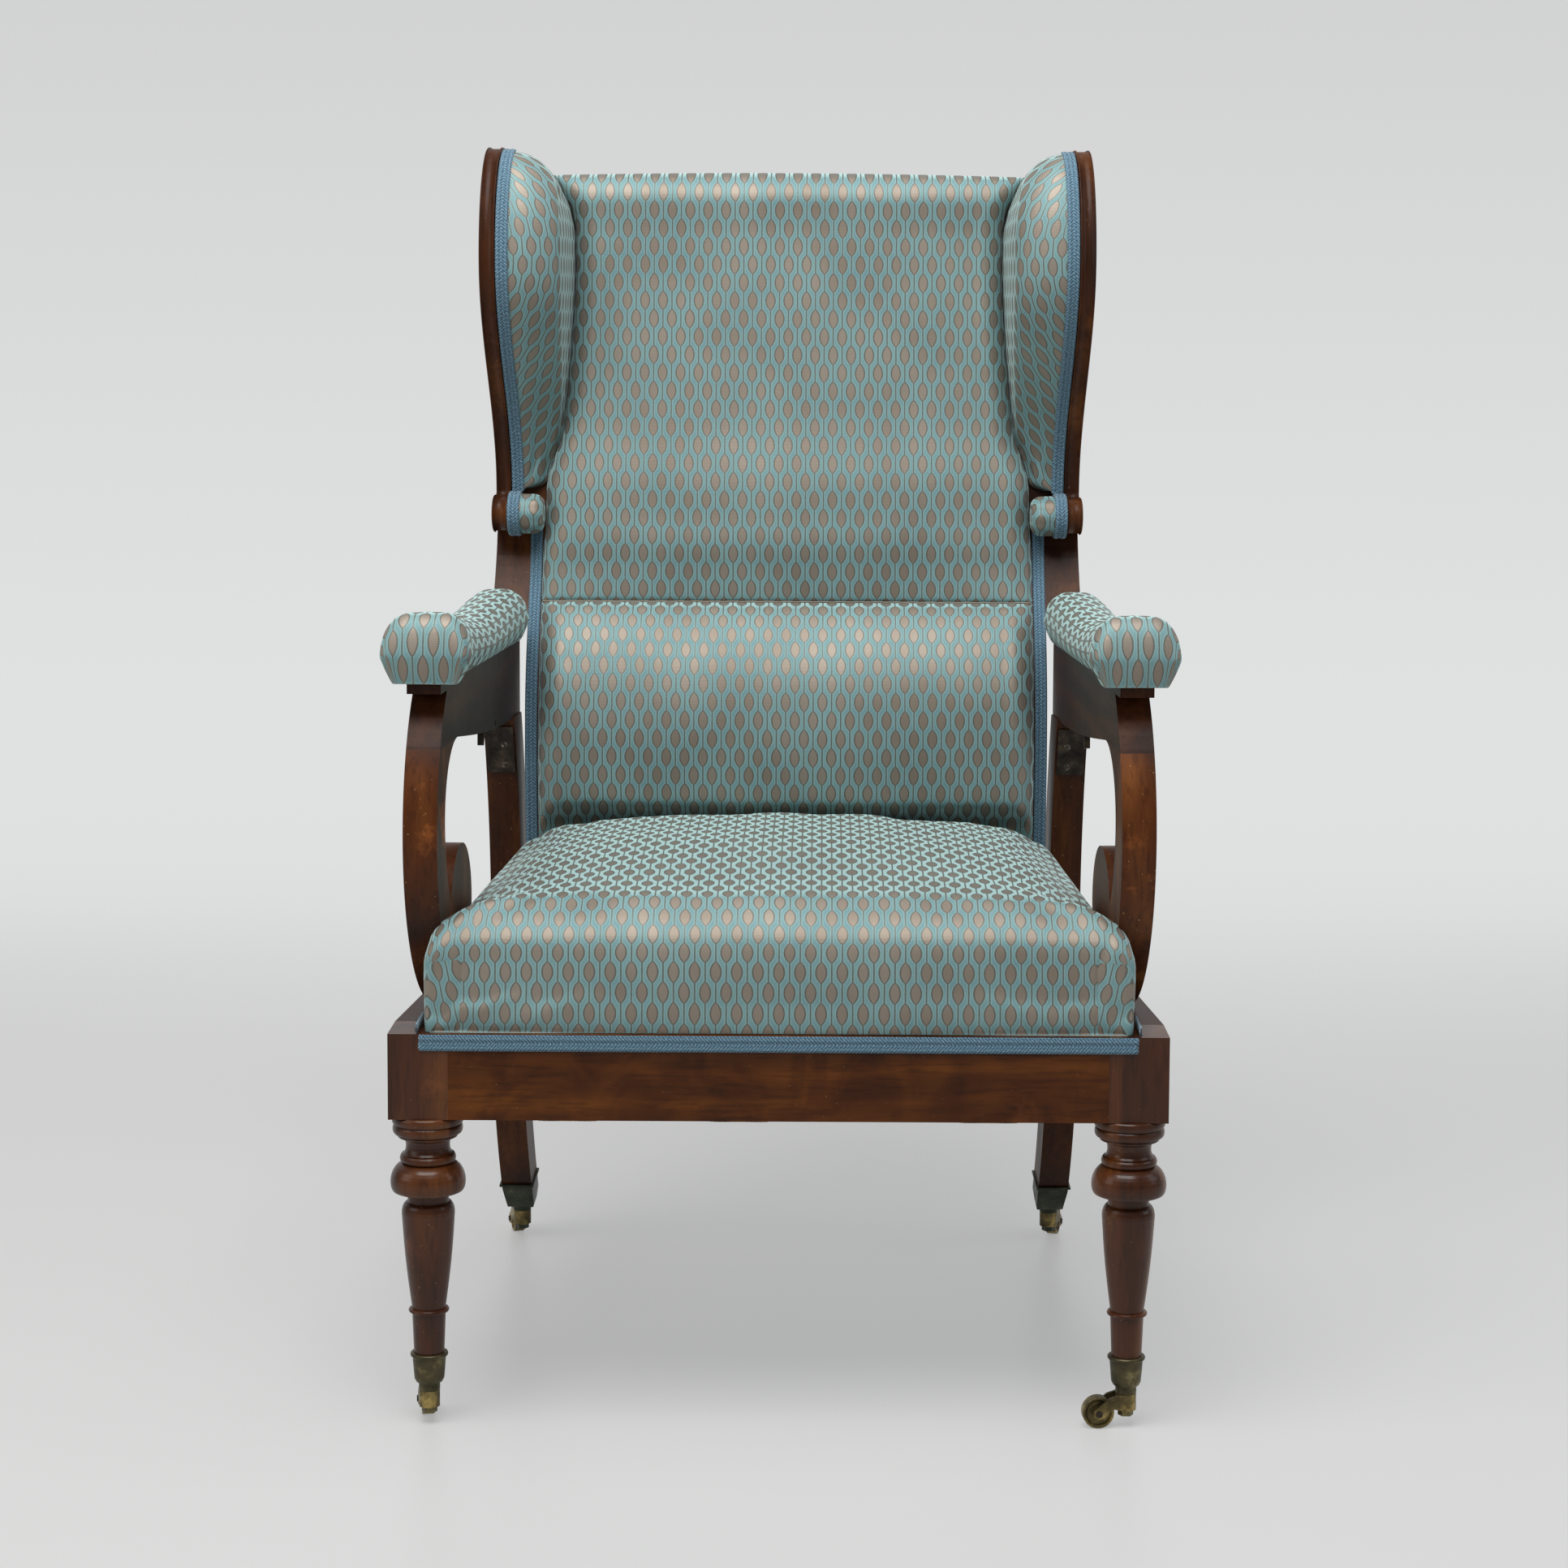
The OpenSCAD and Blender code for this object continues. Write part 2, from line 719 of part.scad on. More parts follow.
module back_stile(side) standing() color(wood) on_side(side)
    difference() {
        union() {
            across(back_half - stile_w, back_half) {
                stile_profile(hinge_height, back_top);
                translate([hinge_depth, hinge_height]) circle(r = hinge_boss_r);
            }
            inside_of(0)
                across(back_half - stile_w, side_half)
                    stile_profile(shoulder_height, wing_heel - soft_gap);
            inside_of(wing_thick)
                across(back_half - stile_w, side_half) stile_profile(wing_heel - soft_gap, back_top);
        }
        bar_across(back_half - stile_w - over, back_half + over,
            hinge_depth, hinge_height, hinge_pin_r + running);
    }
module left_back_stile() back_stile(-1);
module right_back_stile() back_stile(1);

module hinge_pins() standing() color(iron)
    for (side = [-1, 1])
        on_side(side)
            bar_across(back_half - stile_w + pass_gap,
                side_at(hinge_depth) - post_thick + hinge_pin_grip - pass_gap,
                hinge_depth, hinge_height, hinge_pin_r);

rail_rebate = 6;
module back_rail(low, high) standing() color(wood) {
    half = back_half - stile_w;
    across(-half, half)
        polygon(concat(
            [for (z = heights(low, high)) [stile_front(z) + rail_rebate, z]],
            [for (z = heights(high, low)) [stile_rear(z) - rail_rebate, z]]
        ));
}
back_rail_h = 55;
// Height of the underside of the lowest rail of the back
back_low = max(rail_top + back_rail_h / 2, hinge_height + 4.5 * hinge_boss_r);
module back_top_rail() back_rail(back_top - back_rail_h, back_top);
module back_middle_rail() back_rail(seam_height - back_rail_h / 2, seam_height + back_rail_h / 2);
module back_bottom_rail() back_rail(back_low, back_low + back_rail_h);

// Wings

wing_rear_drop = 14;
module wing_profile() {
    polygon(concat(
        [for (z = heights(wing_low, wing_belly_height)) [wing_front(z), z]],
        [for (i = [1 : 9])
            let (a = 90 * i / 9)
                [wing_crest_depth - (wing_crest_depth - wing_belly_depth) * cos(a),
                 wing_belly_height + (wing_top - wing_belly_height) * sin(a)]],
        [for (i = [1 : 6])
            let (t = i / 6, rear = stile_rear(back_top))
                [wing_crest_depth + (rear - wing_crest_depth) * t,
                 wing_top - wing_rear_drop * t * t]],
        [for (z = heights(back_top, wing_heel)) [stile_rear(z), z]],
        [for (i = [0 : 20])
            let (a = -asin(0.8) - (360 - 2 * asin(0.8)) * i / 20)
                [wing_scroll_depth + wing_scroll_r * cos(a),
                 wing_scroll_height + wing_scroll_r * sin(a)]]
    ));
}

module wing(side) standing() color(wood) on_side(side)
    side_board(0, wing_thick) wing_profile();
module left_wing() wing(-1);
module right_wing() wing(1);

// Upholstery

// Rings of a cushion over its outline at a height: a wall, a rolled edge and a crown
function cushion_rings(outline, mid, half, wall, roll, crown, draw, swell) =
    let (
        reach = 0.97 * min(half.x, half.y),
        ring = function(inset, low, rise) [
            for (p = outline(low + rise))
                let (
                    x = mid.x + (p.x - mid.x) * (1 - inset / half.x),
                    y = mid.y + (p.y - mid.y) * (1 - inset / half.y)
                ) [x, y, low + rise * swell(x, y)]
        ]
    ) concat(
        [ring(draw, 0, 0), ring(2 * draw / 3, wall / 6, 0), ring(draw / 3, wall / 3, 0),
         ring(0, 2 * wall / 3, 0)],
        [for (i = [0 : 5])
            let (a = 90 * i / 5) ring(roll * (1 - cos(a)), wall, roll * sin(a))],
        [for (i = [1 : 4])
            let (t = i / 4) ring(roll + (reach - roll) * t, wall, roll + crown * sin(90 * t))]
    );

function ring_middle(ring) = [for (p = ring) 1] * ring / len(ring);

// Closed skin over a stack of rings, each closed by a fan
module cushion_skin(rings) {
    n = len(rings[0]);
    m = len(rings);
    points = concat([for (r = rings) each r], [ring_middle(rings[0]), ring_middle(rings[m - 1])]);
    polyhedron(points = points, convexity = 6, faces = concat(
        [for (i = [0 : m - 2], j = [0 : n - 1])
            let (k = (j + 1) % n) each [
                [i * n + j, (i + 1) * n + j, (i + 1) * n + k],
                [i * n + j, (i + 1) * n + k, i * n + k]
            ]],
        [for (j = [0 : n - 1]) [j, (j + 1) % n, n * m]],
        [for (j = [0 : n - 1])
            [(m - 1) * n + (j + 1) % n, (m - 1) * n + j, n * m + 1]]
    ));
}

// Seat: wide ears in front of the scrolls, narrow between the arms
seat_front = soft_gap;
seat_rear = post_front(rail_top) - lumbar_reach / 2 + 3;
seat_draw = 4;
seat_bow = 5;
function seat_half_at(d, ear) =
    d < ear ? seat_front_half
    : min(seat_front_half, side_point(d, arm_thick).x - 2 * soft_gap);
seat_rear_half = side_point(seat_rear, post_thick).x - 2 * soft_gap;
ear_shares = [0, 0.08, 0.22, 0.42, 0.66, 0.84];

// How far the seat's side is drawn in at a height
function seat_inset(z) =
    z < seat_wall ? seat_draw * max(0, 1 - z / seat_wall)
    : seat_roll * (1 - sqrt(max(0, 1 - pow((z - seat_wall) / seat_roll, 2))));
// Farthest back that the seat's front corners reach round a scroll, at a height
function ear_at(z) =
    max(seat_roll / 2, scroll_front(rail_top + z) - 6 * soft_gap - seat_inset(z));
function seat_depths(ear) = concat(
    [for (share = ear_shares) seat_front + (ear - seat_front) * share],
    [for (i = [0 : 11]) ear + (seat_rear - ear) * i / 11]
);
function seat_corner(d) =
    let (t = min(1, (d - seat_front) / seat_roll))
        seat_roll / 2 * (1 - sqrt(1 - pow(1 - t, 2)));
function seat_edge(d, ear) =
    seat_half_at(d, ear) - seat_corner(d)
    - (seat_half_at(seat_rear, ear) - seat_rear_half)
        * ease((d - post_front_top) / (seat_rear - post_front_top));
function seat_outline(z) =
    let (ear = ear_at(z), depths = seat_depths(ear), last = len(depths) - 1) concat(
        [for (i = [0 : 9])
            let (t = i / 5 - 1)
                [t * seat_edge(seat_front, ear), seat_front + seat_bow * t * t]],
        [for (d = depths) [seat_edge(d, ear), d + (d == seat_front ? seat_bow : 0)]],
        [for (i = [1 : 9]) [(1 - i / 5) * seat_edge(seat_rear, ear), seat_rear]],
        [for (i = [last : -1 : 1]) [-seat_edge(depths[i], ear), depths[i]]]
    );

module seat_cushion() standing() color(cloth)
    translate([0, 0, rail_top + soft_gap])
        cushion_skin(cushion_rings(
            function(z) seat_outline(z), [0, (seat_front + seat_rear) / 2],
            [seat_front_half, (seat_rear - seat_front) / 2],
            seat_wall, seat_roll, seat_crown, seat_draw,
            function(x, d) 1 + seat_swell_share * (1 - pow(x / seat_front_half, 2))
                * ease((d - seat_front - seat_roll) / (seat_rear / 2))
        ));

seat_braid_w = 16;
module seat_braid() standing() color(braid) {
    half = seat_front_half - seat_draw;
    translate([-half, -braid_thick, rail_top - seat_braid_w])
        cube([2 * half, braid_thick, seat_braid_w]);
    for (side = [-1, 1])
        on_side(side)
            translate([seat_front_half + soft_gap, 0, rail_top])
                cube([braid_thick, block_w, seat_braid_w / 2]);
}

web_w = 52;
web_thick = 2;
// Places of the lengthwise webs, as shares of the half width, and of the cross webs
long_web_shares = [-0.54, -0.1, 0.54];
cross_web_shares = [0.22, 0.5, 0.78];
module seat_webbing() standing() color(jute)
    translate([0, 0, rail_bottom - web_thick]) {
        for (share = long_web_shares)
            translate([share * front_half - web_w / 2, front_rail_thick / 5, 0])
                cube([web_w, rear_rail_depth + rear_rail_thick / 2 - front_rail_thick / 5,
                    web_thick]);
        for (share = cross_web_shares)
            let (d = share * seat_depth, half = side_at(d) - side_rail_thick / 2)
                translate([-half, d - web_w / 2, 0]) cube([2 * half, web_w, web_thick]);
    }

cloth_thick = 1.5;
cloth_sag = 10;
module dust_cloth() standing() color(lining) {
    half = [side_at(seat_depth) - side_rail_thick, (rear_rail_depth - front_rail_thick) / 2];
    outline = [for (i = [0 : 27])
        let (a = 360 * i / 28, c = cos(a), s = sin(a))
            [half.x * sign(c) * pow(abs(c), 0.3), half.y * sign(s) * pow(abs(s), 0.3)]];
    translate([0, front_rail_thick + half.y, rail_bottom - web_thick - soft_gap])
        mirror([0, 0, 1])
            cushion_skin(cushion_rings(
                function(z) outline, [0, 0], half, cloth_thick, cloth_thick, cloth_sag, 0,
                function(x, y) 1
            ));
}

// Arm pads, flared in front
pad_front = 24;
pad_rear_gap = 14;
pad_rear = arm_rear - pad_rear_gap;
pad_offset = 2;
pad_draw = 12;
pad_roll = 20;
pad_middle = [0, (pad_front + pad_rear) / 2];
function pad_half_at(d) =
    let (
        t = (d - pad_front) / (pad_rear - pad_front),
        body = pad_half + (pad_front_half - pad_half) * (1 - ease(t / 0.24)),
        nose = min(1, (d - pad_front) / pad_roll),
        heel = min(1, (pad_rear - d) / pad_roll)
    ) body * (0.86 + 0.14 * sqrt(1 - pow(1 - nose, 2))) * (0.8 + 0.2 * sqrt(1 - pow(1 - heel, 2)));
pad_depths = [for (i = [0 : 15]) pad_front + (pad_rear - pad_front) * pow(i / 15, 1.3)];
pad_outline = concat(
    [for (i = [0 : 3]) [(i / 2 - 1) * pad_half_at(pad_front), pad_front]],
    [for (d = pad_depths) [pad_half_at(d), d]],
    [for (i = [1 : 3]) [(1 - i / 2) * pad_half_at(pad_rear), pad_rear]],
    [for (i = [15 : -1 : 1]) [-pad_half_at(pad_depths[i]), pad_depths[i]]]
);
// Height of a pad along its length, as a share of its front's
function pad_swell(d) =
    1 - 0.42 * ease((d - pad_front) / (pad_rear - pad_front) / 0.5)
    + 0.24 * ease((d - pad_front) / (pad_rear - pad_front) * 2 - 1);

module arm_pad(side) standing() color(cloth) on_side(side)
    translate([side_half, 0, 0])
        rotate([0, 0, side_taper])
            translate([-arm_thick / 2 - pad_offset, 0, soft_gap])
                cushion_skin([
                    for (ring = cushion_rings(
                        function(z) pad_outline, pad_middle, [pad_front_half, (pad_rear - pad_front) / 2],
                        pad_h / 2, pad_roll, pad_h / 2 - pad_roll, pad_draw,
                        function(x, d) pad_swell(d)
                    ))
                        [for (p = ring) [p.x, p.y, p.z + arm_over(p.y)]]
                ]);
module left_arm_pad() arm_pad(-1);
module right_arm_pad() arm_pad(1);

// Back pads in level rows, laid on the stiles' curve
function round_share(reach, roll) = sqrt(1 - pow(1 - min(1, reach / roll), 2));
function end_steps(roll) = [for (i = [0 : 4]) roll * (1 - cos(90 * i / 5))];
function pad_row(z, half, from_end, wall, roll, crown, swell) =
    let (
        ends = end_steps(roll),
        right = [for (i = [4 : -1 : 0]) half - ends[i]],
        middle = [for (i = [0 : 6]) (i / 3 - 1) * (half - roll)],
        face = stile_front(z) - soft_gap
    ) concat(
        [for (x = concat([for (i = [4 : -1 : 0]) -right[i]], middle, right))
            [x, face - wall - round_share(half - abs(x), roll)
                * from_end * swell * (roll + crown * (1 - pow(x / half, 2))), z]],
        [[half, face, z], [-half, face, z]]
    );
function pad_rows(half_at, low, high, step, wall, roll, crown, swell) = [
    for (z = concat(
        [for (rise = end_steps(roll)) low + rise],
        heights(low + roll, high - roll, step),
        [for (i = [4 : -1 : 0]) high - end_steps(roll)[i]]
    ))
        pad_row(z, half_at(z), round_share(min(z - low, high - z), roll),
            wall, roll, crown, swell(z))
];

back_pad_half = back_half - braid_w - soft_gap;
pad_wall = 5;
back_roll = 26;
// Half of the upper pad's width, which narrows between the wings
function upper_half(z) =
    back_pad_half
    + (side_at(stile_front(z)) - wing_thick - braid_w - wing_pad_rise(max(z, wing_pad_low))
       - pass_gap - back_pad_half)
        * ease((z - wing_heel + back_roll) / back_roll);
lumbar_low = rail_top + seat_wall + soft_gap;

module upper_back_pad() standing() color(cloth)
    cushion_skin(pad_rows(
        function(z) upper_half(z), seam_height + pass_gap, back_top, 2 * outline_step,
        pad_wall, back_roll, upper_pad_h - back_roll - pad_wall, function(z) 1
    ));

module lumbar_pad() standing() color(cloth)
    cushion_skin(pad_rows(
        function(z) back_pad_half, lumbar_low, seam_height - pass_gap, outline_step,
        pad_wall, back_roll, lumbar_pad_h - back_roll - pad_wall,
        function(z) ease((z - lumbar_low - 1.15 * seat_roll) / back_roll)
    ));

module cover_panel(from, to) {
    polygon(concat(
        [for (z = heights(from, to)) [stile_rear(z) + soft_gap, z]],
        [for (z = heights(to, from)) [stile_rear(z) + soft_gap + cover_thick, z]]
    ));
}

module back_cover() standing() color(cloth) {
    wide = side_at(stile_rear(back_top)) - wing_thick - soft_gap;
    across(-back_half, back_half) cover_panel(back_low + back_rail_h / 3, wing_low);
    across(-wide, wide) cover_panel(wing_low, back_top);
}

module back_braid() standing() color(braid) {
    for (side = [-1, 1])
        on_side(side)
            across(back_half - braid_w, back_half)
                polygon(concat(
                    [for (z = heights(lumbar_low, wing_heel)) [stile_front(z) - soft_gap, z]],
                    [for (z = heights(wing_heel, lumbar_low))
                        [stile_front(z) - soft_gap - braid_thick, z]]
                ));
}

// Wing pads and the braid along the wings' edge
module wing_band(from, to) {
    polygon(concat(
        [for (z = heights(wing_low, wing_belly_height)) [wing_front(z) + from, z]],
        [for (i = [1 : 9])
            let (a = 90 * i / 9, reach = wing_crest_depth - wing_belly_depth)
                [wing_crest_depth - (reach - from) * cos(a),
                 wing_belly_height + (wing_top - wing_belly_height - from) * sin(a)]],
        [for (i = [9 : -1 : 1])
            let (a = 90 * i / 9, reach = wing_crest_depth - wing_belly_depth)
                [wing_crest_depth - (reach - to) * cos(a),
                 wing_belly_height + (wing_top - wing_belly_height - to) * sin(a)]],
        [for (z = heights(wing_belly_height, wing_low))
            [min(wing_front(z) + to, stile_front(z) - soft_gap), z]]
    ));
}

module wing_braid() standing() color(braid)
    for (side = [-1, 1])
        on_side(side)
            side_board(wing_thick + soft_gap, braid_w) wing_band(pass_gap, pass_gap + braid_thick);

wing_pad_edge = pass_gap + braid_thick + soft_gap;
wing_pad_low = wing_low + 2 * pass_gap;
wing_pad_high = wing_top - wing_pad_edge;
wing_pad_roll = 30;
// Share of its height that a wing's pad keeps at its low end
wing_pad_low_share = 0.75;
function wing_pad_front(z) =
    z < wing_belly_height ? wing_front(z) + wing_pad_edge
    : let (
        reach = wing_crest_depth - wing_belly_depth - wing_pad_edge,
        rise = (z - wing_belly_height) / (wing_pad_high - wing_belly_height)
    ) wing_crest_depth - reach * sqrt(max(0, 1 - rise * rise));
function wing_pad_rear(z) = stile_front(min(z, back_top)) - soft_gap;
wing_pad_shares = [0, 0.02, 0.06, 0.12, 0.2, 0.3, 0.42, 0.56, 0.7, 0.85, 1];
// How far a wing's padding stands off its board at a height
function wing_pad_rise(z) =
    let (
        deep = wing_pad_rear(z) - wing_pad_front(z),
        low_share = wing_pad_low_share + (1 - wing_pad_low_share)
            * ease((z - wing_pad_low) / (wing_belly_height - wing_pad_low))
    ) (wing_pad_h - braid_w) * low_share * sqrt(min(1, deep / wing_pad_roll));
// A level row of a wing's pad, from the back over its swell to its front edge
function wing_pad_row(z) =
    let (
        front = wing_pad_front(z),
        deep = wing_pad_rear(z) - front,
        roll = min(wing_pad_roll, deep),
        height = wing_pad_rise(z)
            * round_share(min(z - wing_pad_low, wing_pad_high - z), wing_pad_roll),
        drop = wing_rear_drop * ease((z - wing_belly_height) / (wing_pad_high - wing_belly_height))
    ) concat(
        [[0, front, z], [0, front + deep, z - drop]],
        [for (i = [len(wing_pad_shares) - 1 : -1 : 0])
            let (t = wing_pad_shares[i])
                [-braid_w - height * round_share(deep * t, roll),
                 front + deep * t, z - drop * t * t]]
    );
wing_pad_heights = concat(
    [for (rise = end_steps(wing_pad_roll)) wing_pad_low + rise],
    heights(wing_pad_low + wing_pad_roll, wing_pad_high - wing_pad_roll, 1.5 * outline_step),
    [for (i = [4 : -1 : 0]) wing_pad_high - end_steps(wing_pad_roll)[i]]
);
wing_roll_reach = 32;
wing_roll_end = 10;

// Pad of a wing, and the short covered roll beside the wing's scroll
module wing_pad(side) standing() color(cloth) on_side(side)
    translate([side_half, 0, 0])
        rotate([0, 0, side_taper])
            translate([-wing_thick - soft_gap, 0, 0]) {
                cushion_skin([for (z = wing_pad_heights) wing_pad_row(z)]);
                translate([0, wing_scroll_depth, wing_scroll_height])
                    rotate([0, -90, 0])
                        rotate_extrude($fn = 40)
                            polygon(concat(
                                [[0, 0], [wing_scroll_r - pass_gap, 0]],
                                [for (i = [0 : 5])
                                    let (a = 90 * i / 5)
                                        [wing_scroll_r - pass_gap - wing_roll_end * (1 - cos(a)),
                                         wing_roll_reach - wing_roll_end * (1 - sin(a))]],
                                [[0, wing_roll_reach]]
                            ));
            }
module left_wing_pad() wing_pad(-1);
module right_wing_pad() wing_pad(1);

// Plates on the fronts of the posts, under the arms
plate_h = 49;
plate_thick = 2;
plate_edge = 2;
module post_plates() standing() color(iron) {
    high = post_top - plate_edge * 5;
    for (side = [-1, 1])
        on_side(side)
            side_board(plate_edge, post_thick - 2 * plate_edge)
                polygon([
                    [post_front(high - plate_h) - plate_thick, high - plate_h],
                    [post_front(high) - plate_thick, high],
                    [post_front(high) - running, high],
                    [post_front(high - plate_h) - running, high - plate_h]
                ]);
}

// Castors

boss_h = 15;
nut_h = 5;
nut_r = 7;
boss_low = castor_h - boss_h - 8;
boss_high = boss_low + boss_h;
ear_thick = 3;
ear_gap = 0.5;
ear_r = 5.2;
rim_h = 4;
collar_r = 9.5;

// What every socket carries below its floor: collar, swivel pin and nut
module swivel_pin() {
    translate([0, 0, boss_high + soft_gap])
        cylinder(r = collar_r, h = castor_h - boss_high - soft_gap);
    translate([0, 0, boss_low - soft_gap - nut_h])
        cylinder(r = swivel_r, h = castor_h - boss_low + nut_h + socket_floor / 2);
    translate([0, 0, boss_low - soft_gap - nut_h]) cylinder(r = nut_r, h = nut_h, $fn = 6);
}

module front_socket(side) standing() color(bronze) on_side(side)
    translate([leg_half, leg_depth, 0]) {
        swivel_pin();
        translate([0, 0, castor_h])
            rotate_extrude()
                polygon(concat(
                    [[0, 0], [cup_low_r - cup_floor / 2, 0], [cup_low_r, cup_floor]],
                    [for (i = [0 : 6])
                        let (a = 180 * i / 6)
                            [cup_r + rim_h / 2 * sin(a), cup_h - rim_h / 2 * (1 + cos(a))]],
                    [[cup_r - cup_wall, cup_h],
                     [cup_low_r - cup_wall, cup_floor],
                     [0, cup_floor]]
                ));
    }
module front_left_socket() front_socket(-1);
module front_right_socket() front_socket(1);

socket_taper = 2.2;
// Clearance of a leg in its socket
snug = 0.2;
module rear_socket(side) standing() color(bronze) on_side(side) {
    rim_slope = (rim_rear - rim_front) / (post_rear(rim_rear) - post_front(rim_front));
    rim = [
        [post_front(rim_front) - socket_taper, rim_front - socket_taper * rim_slope],
        [post_rear(rim_rear) + socket_taper, rim_rear + socket_taper * rim_slope]
    ];
    translate([rear_swivel.x, rear_swivel.y, 0]) swivel_pin();
    difference() {
        union() {
            intersection() {
                side_board(0, post_thick) foot_profile(0, castor_h, socket_taper / 2);
                translate([rear_swivel.x, rear_swivel.y + foot_kick, 0])
                    rotate([90, 0, 0])
                        linear_extrude(2 * foot_kick)
                            polygon([
                                [-post_thick / 2 + socket_taper, castor_h],
                                [post_thick / 2 - socket_taper, castor_h],
                                [post_thick / 2 + 2 * socket_taper, rim_rear],
                                [-post_thick / 2 - 2 * socket_taper, rim_rear]
                            ]);
            }
            side_board(-socket_taper, post_thick + 2 * socket_taper)
                polygon([rim[0], rim[1], rim[1] - [0, socket_taper], rim[0] - [0, socket_taper]]);
        }
        side_board(foot_rebate - snug, post_thick - 2 * foot_rebate + 2 * snug)
            polygon(concat(
                [for (z = heights(castor_h + socket_floor, rim_rear + over))
                    [post_front(z) + foot_rebate - snug, z]],
                [for (z = heights(rim_rear + over, castor_h + socket_floor))
                    [post_rear(z) - foot_rebate + snug, z]]
            ));
    }
}
module rear_left_socket() rear_socket(-1);
module rear_right_socket() rear_socket(1);

// A castor's moving parts are drawn about the swivel axis, trailing toward +X
module at_front(side, heading) standing()
    translate([side * leg_half, leg_depth, 0]) rotate([0, 0, heading]) children();
module at_rear(side, heading) standing()
    translate([side * rear_swivel.x, rear_swivel.y, 0]) rotate([0, 0, heading]) children();

module horn() color(bronze)
    difference() {
        union() {
            translate([0, 0, boss_low]) cylinder(r = boss_r, h = boss_h);
            for (side = [-1, 1])
                translate([0, side * (wheel_w / 2 + ear_gap + ear_thick / 2), 0])
                    rotate([90, 0, 0])
                        linear_extrude(ear_thick, center = true) {
                            polygon([
                                [0, boss_low], [0, boss_high],
                                [boss_r * 0.8, boss_high],
                                [trail * 0.62, boss_high - boss_h * 0.18],
                                [trail + ear_r * 0.6, wheel_r + ear_r * 0.8],
                                [trail, wheel_r - ear_r],
                                [trail - ear_r, wheel_r - ear_r * 0.7],
                                [trail * 0.5, boss_low + boss_h * 0.16]
                            ]);
                            translate([trail, wheel_r]) circle(r = ear_r);
                        }
        }
        translate([0, 0, boss_low - over]) cylinder(r = swivel_r + running, h = boss_h + 2 * over);
        translate([trail, 0, wheel_r])
            rotate([90, 0, 0])
                cylinder(r = axle_r + running, h = 2 * wheel_w + 2 * ear_thick, center = true);
    }
module front_left_horn() at_front(-1, front_left_heading) horn();
module front_right_horn() at_front(1, front_right_heading) horn();
module rear_left_horn() at_rear(-1, rear_left_heading) horn();
module rear_right_horn() at_rear(1, rear_right_heading) horn();

axle_head_h = 1;
module axle() color(iron)
    translate([trail, 0, wheel_r])
        rotate([90, 0, 0]) {
            reach = wheel_w / 2 + ear_gap + ear_thick + running;
            cylinder(r = axle_r, h = 2 * reach, center = true);
            for (side = [-1, 1])
                translate([0, 0, side * (reach + axle_head_h / 2)])
                    cylinder(r = axle_r + axle_head_h, h = axle_head_h, center = true);
        }
module front_left_axle() at_front(-1, front_left_heading) axle();
module front_right_axle() at_front(1, front_right_heading) axle();
module rear_left_axle() at_rear(-1, rear_left_heading) axle();
module rear_right_axle() at_rear(1, rear_right_heading) axle();

// Wheel with a rolled lip on each rim, a dished web and a hub
module wheel() color(bronze)
    translate([trail, 0, wheel_r])
        rotate([90, 0, 0])
            rotate_extrude()
                polygon([
                    [axle_r + running, -wheel_w / 2], [2 * axle_r + dish, -wheel_w / 2],
                    [2 * axle_r + dish, -wheel_w / 2 + dish],
                    [wheel_r - 2 * dish, -wheel_w / 2 + dish],
                    [wheel_r - dish, -wheel_w / 2], [wheel_r - dish / 4, -wheel_w / 2],
                    [wheel_r, -wheel_w / 2 + dish / 4],
                    [wheel_r, wheel_w / 2 - dish / 4],
                    [wheel_r - dish / 4, wheel_w / 2], [wheel_r - dish, wheel_w / 2],
                    [wheel_r - 2 * dish, wheel_w / 2 - dish],
                    [2 * axle_r + dish, wheel_w / 2 - dish],
                    [2 * axle_r + dish, wheel_w / 2], [axle_r + running, wheel_w / 2]
                ]);
module front_left_wheel() at_front(-1, front_left_heading) wheel();
module front_right_wheel() at_front(1, front_right_heading) wheel();
module rear_left_wheel() at_rear(-1, rear_left_heading) wheel();
module rear_right_wheel() at_rear(1, rear_right_heading) wheel();

front_rail();
left_side_rail();
right_side_rail();
rear_rail();
corner_braces();
left_front_leg();
right_front_leg();
left_rear_post();
right_rear_post();
left_arm_scroll();
right_arm_scroll();
left_arm_rail();
right_arm_rail();
left_arm_pad();
right_arm_pad();
seat_cushion();
seat_braid();
seat_webbing();
dust_cloth();
post_plates();
catch_pins();
left_catch_lever();
right_catch_lever();
left_rack();
right_rack();
hinge_pins();
left_back_stile();
right_back_stile();
back_top_rail();
back_middle_rail();
back_bottom_rail();
left_wing();
right_wing();
left_wing_pad();
right_wing_pad();
upper_back_pad();
lumbar_pad();
back_cover();
back_braid();
wing_braid();
front_left_socket();
front_right_socket();
rear_left_socket();
rear_right_socket();
front_left_horn();
front_right_horn();
rear_left_horn();
rear_right_horn();
front_left_axle();
front_right_axle();
rear_left_axle();
rear_right_axle();
front_left_wheel();
front_right_wheel();
rear_left_wheel();
rear_right_wheel();
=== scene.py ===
# Reclining wing armchair: dark mahogany, figured silk, gimp braid and patinated brass castors.
import bpy
import numpy as np
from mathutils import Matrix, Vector
from mathutils.bvhtree import BVHTree


